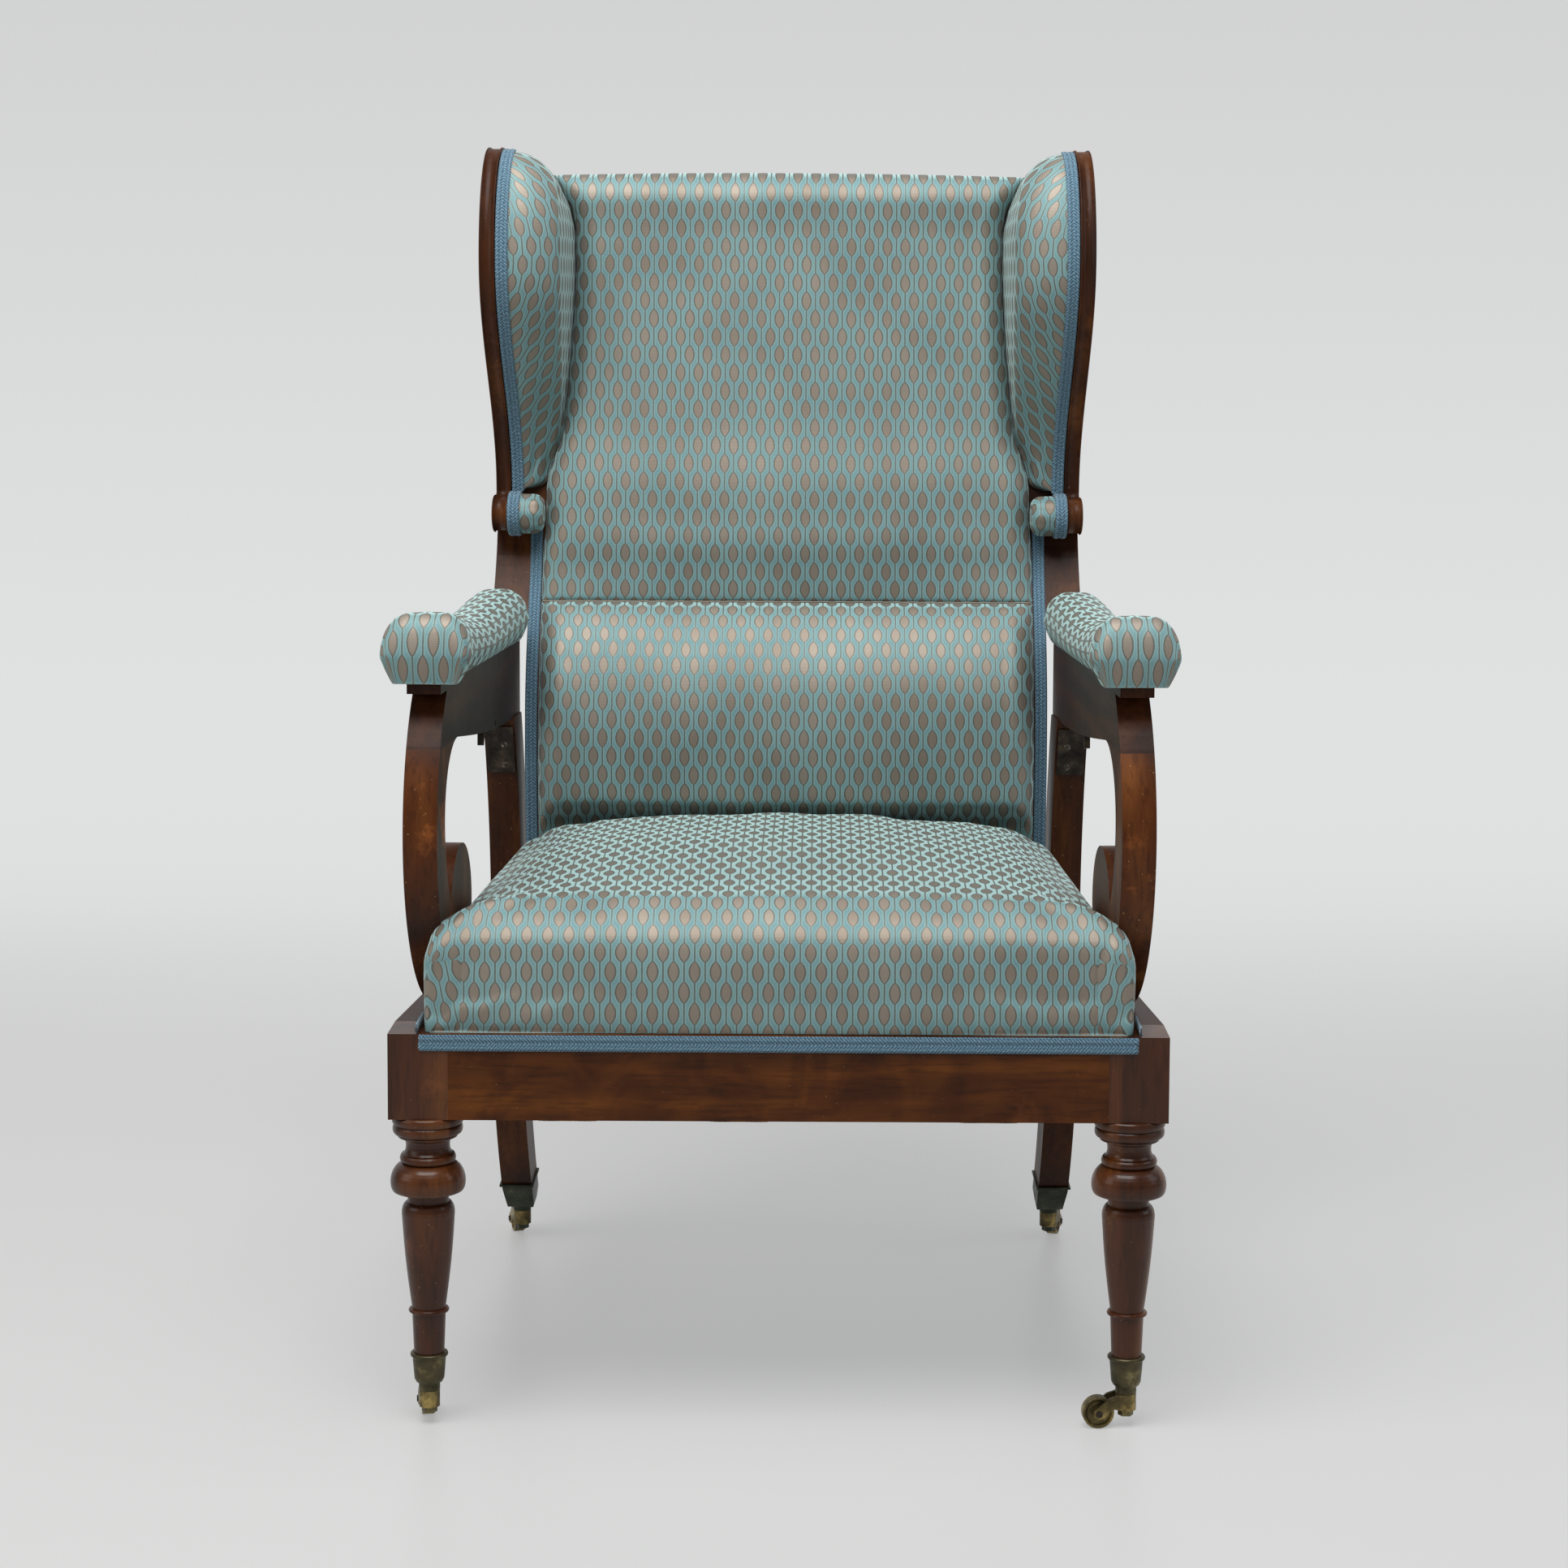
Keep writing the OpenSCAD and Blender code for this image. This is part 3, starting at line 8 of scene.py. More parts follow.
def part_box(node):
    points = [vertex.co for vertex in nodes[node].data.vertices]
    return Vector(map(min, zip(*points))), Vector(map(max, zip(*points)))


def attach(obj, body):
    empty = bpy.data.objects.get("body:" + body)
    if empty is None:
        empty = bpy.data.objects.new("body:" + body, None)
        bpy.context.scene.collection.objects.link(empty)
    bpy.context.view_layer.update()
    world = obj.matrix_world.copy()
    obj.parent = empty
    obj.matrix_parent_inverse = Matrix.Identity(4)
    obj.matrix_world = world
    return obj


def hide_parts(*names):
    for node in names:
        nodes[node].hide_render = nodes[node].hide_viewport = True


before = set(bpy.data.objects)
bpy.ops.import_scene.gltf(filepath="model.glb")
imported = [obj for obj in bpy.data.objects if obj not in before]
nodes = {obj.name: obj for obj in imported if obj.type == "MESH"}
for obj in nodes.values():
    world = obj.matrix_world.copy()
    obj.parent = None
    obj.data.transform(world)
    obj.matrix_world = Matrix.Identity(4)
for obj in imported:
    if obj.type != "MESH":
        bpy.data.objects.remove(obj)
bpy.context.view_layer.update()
print("frame loaded:", len(nodes), "nodes")

chair = {
    "depthCentre": 0.32612,   # depth of the frame's origin behind the front rail's face
    "sideHalf": 0.333,        # half width over the arms at the front
    "sideTaper": 3.0,         # degrees that each side closes in
    "railTop": 0.361,
    "backHalf": 0.268,
    "gap": 0.0003,            # cloth to what it lies on
    "wingThick": 0.0157,
}
taper = np.radians(chair["sideTaper"])
mm = 0.001

# depth of the stiles' front face at evenly spaced heights, as the back's frame has it
stileHeights = np.array([430, 480, 530, 580, 630, 680, 730, 780, 830, 880, 930, 980, 1030, 1080, 1130, 1180]) * mm
stileDepths = np.array([499.6, 492.87, 488.93, 490.81, 501.9, 527.8, 556.26, 571.8, 579.47, 585.66,
                        591.57, 597.3, 602.99, 607.34, 611.24, 615.0]) * mm
wingHeights = np.array([770, 810, 830, 850, 870, 890, 910, 930, 950, 970, 990, 1010, 1030, 1048]) * mm
wingDepths = np.array([563, 562.87, 560.95, 555.32, 546.38, 534.73, 521.2, 506.7, 492.27, 478.88, 467.47,
                       458.83, 453.56, 452]) * mm


def smoothCurve(x, knots, values):  # cubic through the knots, slopes from their neighbours
    slopes = np.gradient(values, knots)
    i = np.clip(np.searchsorted(knots, x) - 1, 0, len(knots) - 2)
    h = knots[i + 1] - knots[i]
    t = (x - knots[i]) / h
    return ((2 * t**3 - 3 * t**2 + 1) * values[i] + (t**3 - 2 * t**2 + t) * h * slopes[i]
            + (3 * t**2 - 2 * t**3) * values[i + 1] + (t**3 - t**2) * h * slopes[i + 1])


def stileFront(z):
    return smoothCurve(z, stileHeights, stileDepths)


def wingFront(z):
    return smoothCurve(z, wingHeights, wingDepths)


def ease(t):  # 0 to 1 with level ends
    t = np.clip(t, 0, 1)
    return t * t * (3 - 2 * t)


def roundShare(reach, roll):  # height of a quarter round at a distance from its edge
    return np.sqrt(1 - (1 - np.clip(reach / roll, 0, 1)) ** 2)


def rollLength(reach, roll):  # how much longer the cloth over a quarter round is than its plan
    turn = np.arccos(np.clip(1 - reach / roll, 0, 1))
    return roll * (np.pi / 2 - turn) - (roll - np.clip(reach, 0, roll))


def boardPoint(side, depth, inset, z):  # a point at an inset from a side's outer plane
    x = chair["sideHalf"] - inset * np.cos(taper) - depth * np.sin(taper)
    y = depth * np.cos(taper) - inset * np.sin(taper)
    return np.stack(np.broadcast_arrays(side * x, y - chair["depthCentre"], z), -1)


def makeMesh(name, points, faces, uv=None, smooth=True):
    # faces: one array, or a list of arrays with different corner counts; uv: a pair for each corner
    groups = faces if isinstance(faces, list) else [faces]
    loops = np.concatenate([g.ravel() for g in groups])
    sizes = np.concatenate([np.full(len(g), g.shape[1]) for g in groups])
    mesh = bpy.data.meshes.new(name)
    mesh.vertices.add(len(points))
    mesh.vertices.foreach_set("co", np.asarray(points, float).ravel())
    mesh.loops.add(len(loops))
    mesh.loops.foreach_set("vertex_index", loops)
    mesh.polygons.add(len(sizes))
    mesh.polygons.foreach_set("loop_start", np.concatenate([[0], np.cumsum(sizes)[:-1]]))
    mesh.polygons.foreach_set("use_smooth", np.full(len(sizes), smooth))
    mesh.update(calc_edges=True)
    mesh.validate()
    if uv is not None:
        layer = mesh.uv_layers.new(name="cloth")
        layer.data.foreach_set("uv", np.asarray(uv, float).ravel())
    piece = bpy.data.objects.new(name, mesh)
    bpy.context.scene.collection.objects.link(piece)
    return piece


def dress(piece, material, body, slotName, *replaced):
    piece.data.materials.append(material)
    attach(piece, body)
    if replaced:
        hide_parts(*replaced)


def lengthAlong(a, b):  # length along a flat line of points, from its first one
    return np.concatenate([[0], np.cumsum(np.hypot(np.diff(a), np.diff(b)))])


def headings(a, b):  # unit direction of a flat line at each of its points
    forward = np.stack([np.gradient(a), np.gradient(b)], -1)
    return forward / np.linalg.norm(forward, axis=1)[:, None]


def gridQuads(rows, columns, around=True):
    # quads between neighbouring rows of points; around joins the last column to the first
    i = np.arange(rows - 1)[:, None]
    j = np.arange(columns if around else columns - 1)[None]
    after = (j + 1) % columns
    return np.stack(np.broadcast_arrays(i * columns + j, i * columns + after, (i + 1) * columns + after,
                                        (i + 1) * columns + j), -1).reshape(-1, 4)


def perCorner(values, groups):  # a value for each face corner, from one for each point
    return values[np.concatenate([g.ravel() for g in groups])]


def sweepRings(rings):
    # rings[i, j] is point j of closed ring i; quads between rings, and a fan to the middle of each end
    count, around = rings.shape[:2]
    ends, after, rearmost = np.arange(around), np.roll(np.arange(around), -1), (count - 1) * around
    points = np.vstack([rings.reshape(-1, 3), rings[0].mean(0), rings[-1].mean(0)])
    first = np.stack([after, ends, np.full(around, count * around)], -1)
    last = np.stack([ends + rearmost, after + rearmost, np.full(around, count * around + 1)], -1)
    return points, [gridQuads(count, around), first, last]


def boxSkin(counts):
    # closed skin of a box: six grids of whole steps, welded where they meet; steps are its points
    corners, sides = [], []
    for axis in range(3):
        p, q = [k for k in range(3) if k != axis]
        i, j = np.meshgrid(np.arange(counts[p]), np.arange(counts[q]), indexing="ij")
        for end in (0, 1):
            grid = np.zeros(i.shape + (4, 3), int)
            for n, (di, dj) in enumerate(((0, 0), (1, 0), (1, 1), (0, 1))):
                grid[..., n, p], grid[..., n, q] = i + di, j + dj
            grid[..., axis] = end * counts[axis]
            if (end == 1) == (axis == 1):
                grid = grid[..., ::-1, :]
            corners.append(grid.reshape(-1, 4, 3))
            sides.append(np.full(i.size, 2 * axis + end))
    corners = np.concatenate(corners)
    steps, faces = np.unique(corners.reshape(-1, 3), axis=0, return_inverse=True)
    return steps, faces.reshape(-1, 4), np.concatenate(sides)


def evenly(count, short):  # grid lines from 0 to 1, closer together toward both ends
    t = np.linspace(0, 1, count + 1)
    return t - short * np.sin(2 * np.pi * t) / (2 * np.pi)


def wander(points, size, seed):
    # slow unevenness of stuffing: a sum of sine waves of about one size
    rng = np.random.default_rng(seed)
    total = np.zeros(len(points))
    for _ in range(7):
        direction = rng.normal(size=3)
        direction /= np.linalg.norm(direction)
        total += np.sin(points @ direction * 2 * np.pi / (size * rng.uniform(0.7, 1.5)) + rng.uniform(0, 6.3))
    return total / 3


stuffing = {"frames": 20, "pressure": 4.0, "mass": 0.3, "stiffness": 40, "bending": 2, "quality": 6}


def swell(piece, pinned, cap):
    # cloth under a little pressure; no point may move farther than its cap
    mesh = piece.data
    start = np.zeros(len(mesh.vertices) * 3)
    mesh.vertices.foreach_get("co", start)
    group = piece.vertex_groups.new(name="held")
    group.add([int(i) for i in np.flatnonzero(pinned)], 1.0, "REPLACE")
    cloth = piece.modifiers.new("Cloth", "CLOTH")
    settings = cloth.settings
    settings.quality = stuffing["quality"]
    settings.mass = stuffing["mass"]
    settings.tension_stiffness = settings.compression_stiffness = stuffing["stiffness"]
    settings.bending_stiffness = stuffing["bending"]
    settings.use_pressure = True
    settings.uniform_pressure_force = stuffing["pressure"]
    settings.effector_weights.gravity = 0
    settings.vertex_group_mass = "held"
    cloth.collision_settings.use_collision = False
    cloth.point_cache.frame_start, cloth.point_cache.frame_end = 1, stuffing["frames"]
    for step in range(1, stuffing["frames"] + 1):
        bpy.context.scene.frame_set(step)
    settled = piece.evaluated_get(bpy.context.evaluated_depsgraph_get()).data
    end = np.zeros(len(settled.vertices) * 3)
    settled.vertices.foreach_get("co", end)
    start, end = start.reshape(-1, 3), end.reshape(-1, 3)
    move = end - start
    length = np.linalg.norm(move, axis=1)
    keep = np.where(length > cap, cap / np.maximum(length, 1e-9), 1)
    piece.modifiers.remove(cloth)
    mesh.vertices.foreach_set("co", (start + move * keep[:, None]).ravel())
    mesh.update()
    bpy.context.scene.frame_set(1)
    print("  swelled", piece.name, "by up to", round(float((length * keep).max()) * 1000, 1), "mm")


def finishPad(piece, body, fill, *replaced):  # silk over stuffing, its mesh smoothed once more
    smoother = piece.modifiers.new("Subdivision", "SUBSURF")
    smoother.levels = smoother.render_levels = 1
    dress(piece, silk, body, "figured_silk")
    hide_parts(*replaced)


def hexLinear(code):  # sRGB hex to linear, with full alpha
    c = np.array([int(code[i:i + 2], 16) for i in (1, 3, 5)]) / 255
    c = np.where(c <= 0.04045, c / 12.92, ((c + 0.055) / 1.055) ** 2.4)
    return (*map(float, c), 1.0)


def addNode(tree, kind, inputs=None, stops=None, **settings):
    # one node: plain settings, then inputs given as numbers, hex colours, sockets or other nodes
    node = tree.nodes.new("ShaderNode" + kind)
    for key, value in settings.items():
        setattr(node, key, value)
    for key, value in (inputs or {}).items():
        if isinstance(value, bpy.types.Node):
            value = value.outputs[0]
        if isinstance(value, bpy.types.NodeSocket):
            tree.links.new(value, node.inputs[key])
        else:
            node.inputs[key].default_value = hexLinear(value) if isinstance(value, str) else value
    if stops:
        ramp = node.color_ramp.elements
        while len(ramp) < len(stops):
            ramp.new(0.5)
        for element, (place, colour) in zip(ramp, stops):
            element.position = place
            element.color = hexLinear(colour) if isinstance(colour, str) else (colour, colour, colour, 1)
    return node


def newMaterial(name):
    material = bpy.data.materials.new(name)
    material.use_nodes = True
    tree = material.node_tree
    tree.nodes.clear()
    return material, tree


def finishMaterial(tree, shader):
    output = tree.nodes.new("ShaderNodeOutputMaterial")
    tree.links.new(shader.outputs[0], output.inputs[0])


# figured silk: the satin warp shows as pointed ovals and thin lines, between matt ribbed weft bands
silkSettings = {
    "pitch": 18.6, "repeat": 37.5,          # mm between columns of ovals, and from oval to oval up a column
    "ovalHalf": 4.75, "ovalReach": 9.8,     # mm, half width and half height of an oval
    "line": 0.78,                           # mm, half width of the line round and between the ovals
    "satin": "#978d81", "satinDeep": "#887d70", "lineTone": "#5f5f5a",
    "band": "#75999c", "bandDeep": "#698e93", "bandEdge": "#93b2ad",
    # painted sheen: toward grazing angles the bands are painted lighter and the satin greyer and darker
    "bandPaintedSheen": "#bfe0dc", "satinPaintedGrazingShade": "#7b7a73",
    "thread": 1.1,                          # mm between ribs, drawn coarser than the real 0.3
    "satinMetal": 0.62, "satinRough": 0.55, "bandMetal": 0.12, "bandRough": 0.6,
}


def ovalEdge(tree, across, along, shift):
    # mm outside the nearest oval of every second column, less than 0 inside:
    # |du| - half * (1 - (dv / reach)^2)^0.8, and |du| alone along the line from oval to oval
    s = silkSettings
    du = addNode(tree, "Math", {0: addNode(tree, "Math", {0: across, 1: shift * s["pitch"]}, operation="ADD"),
                                1: -s["pitch"] / 2, 2: s["pitch"] / 2}, operation="WRAP")
    dv = addNode(tree, "Math", {0: addNode(tree, "Math", {0: along, 1: shift * s["repeat"]}, operation="ADD"),
                                1: -s["repeat"] / 2, 2: s["repeat"] / 2}, operation="WRAP")
    share = addNode(tree, "Math", {0: dv, 1: s["ovalReach"]}, operation="DIVIDE")
    left = addNode(tree, "Math", {0: 1.0, 1: addNode(tree, "Math", {0: share, 1: share}, operation="MULTIPLY")},
                   operation="SUBTRACT", use_clamp=True)
    width = addNode(tree, "Math", {0: addNode(tree, "Math", {0: left, 1: 0.8}, operation="POWER"),
                                   1: s["ovalHalf"]}, operation="MULTIPLY")
    return addNode(tree, "Math", {0: addNode(tree, "Math", {0: du}, operation="ABSOLUTE"), 1: width},
                   operation="SUBTRACT")


def silkMaterial():
    s = silkSettings
    material, tree = newMaterial("figuredSilk")
    uv = addNode(tree, "UVMap", uv_map="cloth")
    scaled = addNode(tree, "VectorMath", {0: uv, 1: (1000, 1000, 1000)}, operation="MULTIPLY")
    unevenness = addNode(tree, "TexNoise", {"Vector": scaled, "Scale": 0.012, "Detail": 1.0},
                         noise_dimensions="2D")
    jitter = addNode(tree, "TexNoise", {"Vector": scaled, "Scale": 0.9, "Detail": 1.0}, noise_dimensions="2D")
    split = addNode(tree, "SeparateXYZ", {0: scaled})
    across = addNode(tree, "Math", {0: addNode(tree, "Math", {0: jitter, 1: 0.5}, operation="SUBTRACT"),
                                    1: 0.5, 2: split.outputs[0]}, operation="MULTIPLY_ADD")
    edge = addNode(tree, "Math", {0: ovalEdge(tree, across, split.outputs[1], 0.0),
                                  1: ovalEdge(tree, across, split.outputs[1], 0.5)}, operation="MINIMUM")
    inOval = addNode(tree, "MapRange", {"Value": edge, 1: 0.15, 2: -0.15})
    onLine = addNode(tree, "MapRange", {"Value": addNode(tree, "Math", {0: edge}, operation="ABSOLUTE"),
                                        1: s["line"] * 1.25, 2: s["line"] * 0.6})
    isSatin = addNode(tree, "Math", {0: inOval, 1: onLine}, operation="MAXIMUM")
    satin = addNode(tree, "ValToRGB", {0: unevenness}, stops=[(0.3, s["satinDeep"]), (0.7, s["satin"])])
    band = addNode(tree, "ValToRGB", {0: unevenness}, stops=[(0.3, s["bandDeep"]), (0.7, s["band"])])
    nearLine = addNode(tree, "MapRange", {"Value": edge, 1: 2.3, 2: 0.7, 3: 0.0, 4: 0.65})
    band = addNode(tree, "MixRGB", {0: nearLine, 1: band, 2: s["bandEdge"]})
    # painted sheen and shade: the colour changes with the viewing angle, the bands lighter and the satin greyer
    # and darker toward grazing
    facing = addNode(tree, "LayerWeight", {"Blend": 0.5}).outputs["Facing"]
    paintedSheenShare = addNode(tree, "MapRange", {"Value": facing, 1: 0.5, 2: 0.95, 4: 0.9})
    band = addNode(tree, "MixRGB", {0: paintedSheenShare, 1: band, 2: s["bandPaintedSheen"]})
    satin = addNode(tree, "MixRGB", {0: paintedSheenShare, 1: satin, 2: s["satinPaintedGrazingShade"]})
    ground = addNode(tree, "MixRGB", {0: inOval, 1: band, 2: satin})
    colour = addNode(tree, "MixRGB", {0: addNode(tree, "Math", {0: onLine, 1: 0.8}, operation="MULTIPLY"),
                                      1: ground, 2: s["lineTone"]})
    ribs = addNode(tree, "Math", {0: addNode(tree, "Math", {0: split.outputs[1], 1: 2 * np.pi / s["thread"]},
                                             operation="MULTIPLY")}, operation="SINE")
    relief = addNode(tree, "Math", {0: ribs, 1: 0.25, 2: isSatin}, operation="MULTIPLY_ADD")
    bump = addNode(tree, "Bump", {"Height": relief, "Strength": 0.25, "Distance": 0.0004})
    roughness = addNode(tree, "MapRange", {"Value": isSatin, 3: s["bandRough"], 4: s["satinRough"]})
    metal = addNode(tree, "MapRange", {"Value": isSatin, 3: s["bandMetal"], 4: s["satinMetal"]})
    shader = addNode(tree, "BsdfPrincipled", {"Base Color": colour, "Roughness": roughness, "Metallic": metal,
                                              "Sheen Weight": 0.1, "Sheen Roughness": 0.5,
                                              "Specular IOR Level": 0.4, "Normal": bump})
    finishMaterial(tree, shader)
    return material


def mahoganyMaterial(name, stretch, deep, mid, light, wear=0.0, figure=0.0, coat=0.15):
    # varnished mahogany: long dark pores, slow colour bands, french polish worn through in places
    material, tree = newMaterial(name)
    place = addNode(tree, "TexCoord")
    grain = addNode(tree, "Mapping", {"Vector": place.outputs["Object"], "Scale": stretch})
    bands = addNode(tree, "TexNoise", {"Vector": grain, "Scale": 22.0, "Detail": 6.0, "Distortion": 0.6 + figure})
    pores = addNode(tree, "TexNoise", {"Vector": grain, "Scale": 260.0, "Detail": 2.0})
    cloud = addNode(tree, "TexNoise", {"Vector": place.outputs["Object"], "Scale": 9.0, "Detail": 5.0,
                                       "Roughness": 0.65})
    flame = addNode(tree, "TexNoise", {"Vector": place.outputs["Object"], "Scale": 14.0, "Detail": 2.0,
                                       "Distortion": 2.0})
    tone = addNode(tree, "ValToRGB", {0: bands}, stops=[(0.28, deep), (0.5, mid), (0.74, light)])
    darker = addNode(tree, "ValToRGB", {0: pores}, stops=[(0.36, 0.55), (0.48, 1.0)])
    flames = addNode(tree, "ValToRGB", {0: flame}, stops=[(0.35, deep), (0.65, light)])
    flamed = addNode(tree, "MixRGB", {0: figure, 1: tone, 2: flames})
    grained = addNode(tree, "MixRGB", {0: 0.6, 1: flamed, 2: darker}, blend_type="MULTIPLY")
    worn = addNode(tree, "ValToRGB", {0: cloud}, stops=[(0.60, 0.0), (0.70, 1.0)])
    wornShare = addNode(tree, "Math", {0: worn, 1: wear}, operation="MULTIPLY")
    rubbed = addNode(tree, "MixRGB", {0: wornShare, 1: grained, 2: "#a05c2c"})
    specks = addNode(tree, "TexNoise", {"Vector": place.outputs["Object"], "Scale": 340.0, "Detail": 1.0})
    chips = addNode(tree, "MapRange", {"Value": specks, 1: 0.745, 2: 0.785, 4: 0.1 + 0.4 * wear})
    colour = addNode(tree, "MixRGB", {0: chips, 1: rubbed, 2: "#c79d6d"})
    roughness = addNode(tree, "MapRange", {"Value": cloud, 3: 0.34, 4: 0.5})
    bump = addNode(tree, "Bump", {"Height": pores, "Strength": 0.12, "Distance": 0.0004})
    shader = addNode(tree, "BsdfPrincipled", {"Base Color": colour, "Roughness": roughness, "Normal": bump,
                                              "Specular IOR Level": 0.14, "Coat Weight": coat,
                                              "Coat Roughness": 0.22})
    finishMaterial(tree, shader)
    return material


def metalMaterial(name, dark, mid, bright, brightAt, roughness, metallic, scale):
    # old metal: dull patina broken by brighter rubbed places
    material, tree = newMaterial(name)
    place = addNode(tree, "TexCoord")
    patches = addNode(tree, "TexNoise", {"Vector": place.outputs["Object"], "Scale": scale, "Detail": 8.0,
                                         "Roughness": 0.62})
    fine = addNode(tree, "TexNoise", {"Vector": place.outputs["Object"], "Scale": 900.0, "Detail": 2.0})
    colour = addNode(tree, "ValToRGB", {0: patches},
                     stops=[(0.3, dark), (brightAt - 0.08, mid), (brightAt + 0.08, bright)])
    rough = addNode(tree, "MapRange", {"Value": patches, 1: 0.35, 2: 0.65,
                                       3: roughness + 0.12, 4: roughness - 0.1})
    bump = addNode(tree, "Bump", {"Height": fine, "Strength": 0.18, "Distance": 0.0002})
    shader = addNode(tree, "BsdfPrincipled", {"Base Color": colour, "Metallic": metallic, "Roughness": rough,
                                              "Normal": bump})
    finishMaterial(tree, shader)
    return material


def threadMaterial(name, deep, mid, light, alongScale, acrossScale, sheen, stitch=0.0, cords=0.0):
    # spun threads along a strip, on its own map; stitch is the mm from loop to loop, cords the mm between rows
    material, tree = newMaterial(name)
    uv = addNode(tree, "UVMap", uv_map="cloth")
    strands = addNode(tree, "Mapping", {"Vector": uv, "Scale": (acrossScale, alongScale, 1)})
    noise = addNode(tree, "TexNoise", {"Vector": strands, "Scale": 1.0, "Detail": 4.0, "Roughness": 0.7})
    level = noise
    if stitch:  # slanting loops, turned the other way on each side of the strip's middle
        scaled = addNode(tree, "VectorMath", {0: uv, 1: (1000, 1000, 1000)}, operation="MULTIPLY")
        split = addNode(tree, "SeparateXYZ", {0: scaled})
        fromMiddle = addNode(tree, "Math", {0: split.outputs[0]}, operation="ABSOLUTE")
        slant = addNode(tree, "Math", {0: fromMiddle, 1: 0.9, 2: split.outputs[1]}, operation="MULTIPLY_ADD")
        loops = addNode(tree, "Math", {0: addNode(tree, "Math", {0: slant, 1: 2 * np.pi / stitch},
                                                  operation="MULTIPLY")}, operation="SINE")
        rows = addNode(tree, "Math", {0: addNode(tree, "Math", {0: split.outputs[0], 1: 2 * np.pi / cords},
                                                 operation="MULTIPLY")}, operation="COSINE")
        woven = addNode(tree, "Math", {0: loops, 1: 0.09, 2: noise}, operation="MULTIPLY_ADD")
        level = addNode(tree, "Math", {0: rows, 1: 0.045, 2: woven}, operation="MULTIPLY_ADD")
    colour = addNode(tree, "ValToRGB", {0: level}, stops=[(0.3, deep), (0.5, mid), (0.74, light)])
    bump = addNode(tree, "Bump", {"Height": level, "Strength": 0.45, "Distance": 0.0006})
    shader = addNode(tree, "BsdfPrincipled", {"Base Color": colour, "Roughness": 0.8, "Normal": bump,
                                              "Specular IOR Level": 0.25, "Sheen Weight": sheen,
                                              "Sheen Roughness": 0.5})
    finishMaterial(tree, shader)
    return material


silk = silkMaterial()
gimp = threadMaterial("gimpBraid", "#25394a", "#4d7085", "#93b0bd", 1100, 900, 0.3, stitch=3.2, cords=4.2)
jute = threadMaterial("juteWebbing", "#6e5636", "#9a7b4e", "#c0a274", 300, 300, 0.2)
lining = threadMaterial("dustCloth", "#80838a", "#9a9da1", "#b2b4b8", 260, 260, 0.1)
upright = mahoganyMaterial("mahoganyUpright", (1, 1, 0.09), "#221009", "#43220d", "#6e401c", wear=0.3, coat=0.06)
turned = mahoganyMaterial("mahoganyTurned", (1, 1, 0.12), "#241007", "#46220c", "#70421a", wear=0.3, coat=0.4)
lengthwise = mahoganyMaterial("mahoganyLengthwise", (1, 0.09, 1), "#1d0f08", "#371c0e", "#553019",
                              wear=0.1, coat=0.05)
crosswise = mahoganyMaterial("mahoganyCrosswise", (0.09, 1, 1), "#1d0c06", "#37190c", "#552a16",
                             wear=0.1, coat=0.05)
wornScroll = mahoganyMaterial("mahoganyWorn", (1, 1, 0.12), "#2a150a", "#51290f", "#7d4a22", wear=0.9, coat=0.08)
veneer = mahoganyMaterial("veneeredMahogany", (0.1, 1, 1), "#2c1203", "#4b2408", "#714012",
                          wear=0.2, figure=0.25, coat=0.1)
brass = metalMaterial("patinatedBrass", "#3f3826", "#6a5d3c", "#a8925a", 0.56, 0.42, 0.85, 60.0)
cupBrass = metalMaterial("patinatedBrassCup", "#332f21", "#514a35", "#8a7d55", 0.62, 0.4, 0.8, 45.0)
# the rear sockets get a darker, greener brass than the front cups
darkCup = metalMaterial("darkRearBrassSocket", "#24271f", "#393c31", "#6a6753", 0.64, 0.42, 0.75, 45.0)
wornSteel = metalMaterial("rubbedScrewSteel", "#37322d", "#575048", "#8a8276", 0.55, 0.4, 0.9, 300.0)
iron = metalMaterial("darkIron", "#231f1c", "#3a322c", "#5a4c3f", 0.6, 0.5, 0.7, 70.0)
print("materials made")


finishes = {
    "front_rail": veneer, "left_side_rail": lengthwise, "right_side_rail": lengthwise, "rear_rail": crosswise,
    "corner_braces": crosswise, "left_front_leg": turned, "right_front_leg": turned,
    "left_rear_post": upright, "right_rear_post": upright, "left_arm_scroll": wornScroll,
    "right_arm_scroll": wornScroll, "left_arm_rail": lengthwise, "right_arm_rail": lengthwise,
    "left_back_stile": upright, "right_back_stile": upright, "back_top_rail": crosswise,
    "back_middle_rail": crosswise, "back_bottom_rail": crosswise,
    "post_plates": iron, "catch_pins": iron, "hinge_pins": iron,
    "left_catch_lever": iron, "right_catch_lever": iron, "left_rack": iron, "right_rack": iron,
}
for corner in ("front_left", "front_right", "rear_left", "rear_right"):
    finishes[corner + "_socket"] = cupBrass if corner.startswith("front") else darkCup
    finishes[corner + "_horn"] = finishes[corner + "_wheel"] = brass
    finishes[corner + "_axle"] = iron
for name, material in finishes.items():
    data = nodes[name].data
    data.materials.clear()
    data.materials.append(material)
print("frame nodes finished:", len(finishes))


board = {
    "low": 0.810, "heel": 0.7729, "top": 1.163, "backTop": 1.138, "drop": 0.014, "deep": 0.042,
    "scroll": (0.54727, 0.7885), "scrollRadius": 0.0195, "scrollLean": 0.8, "round": 0.0016, "points": 460,
}


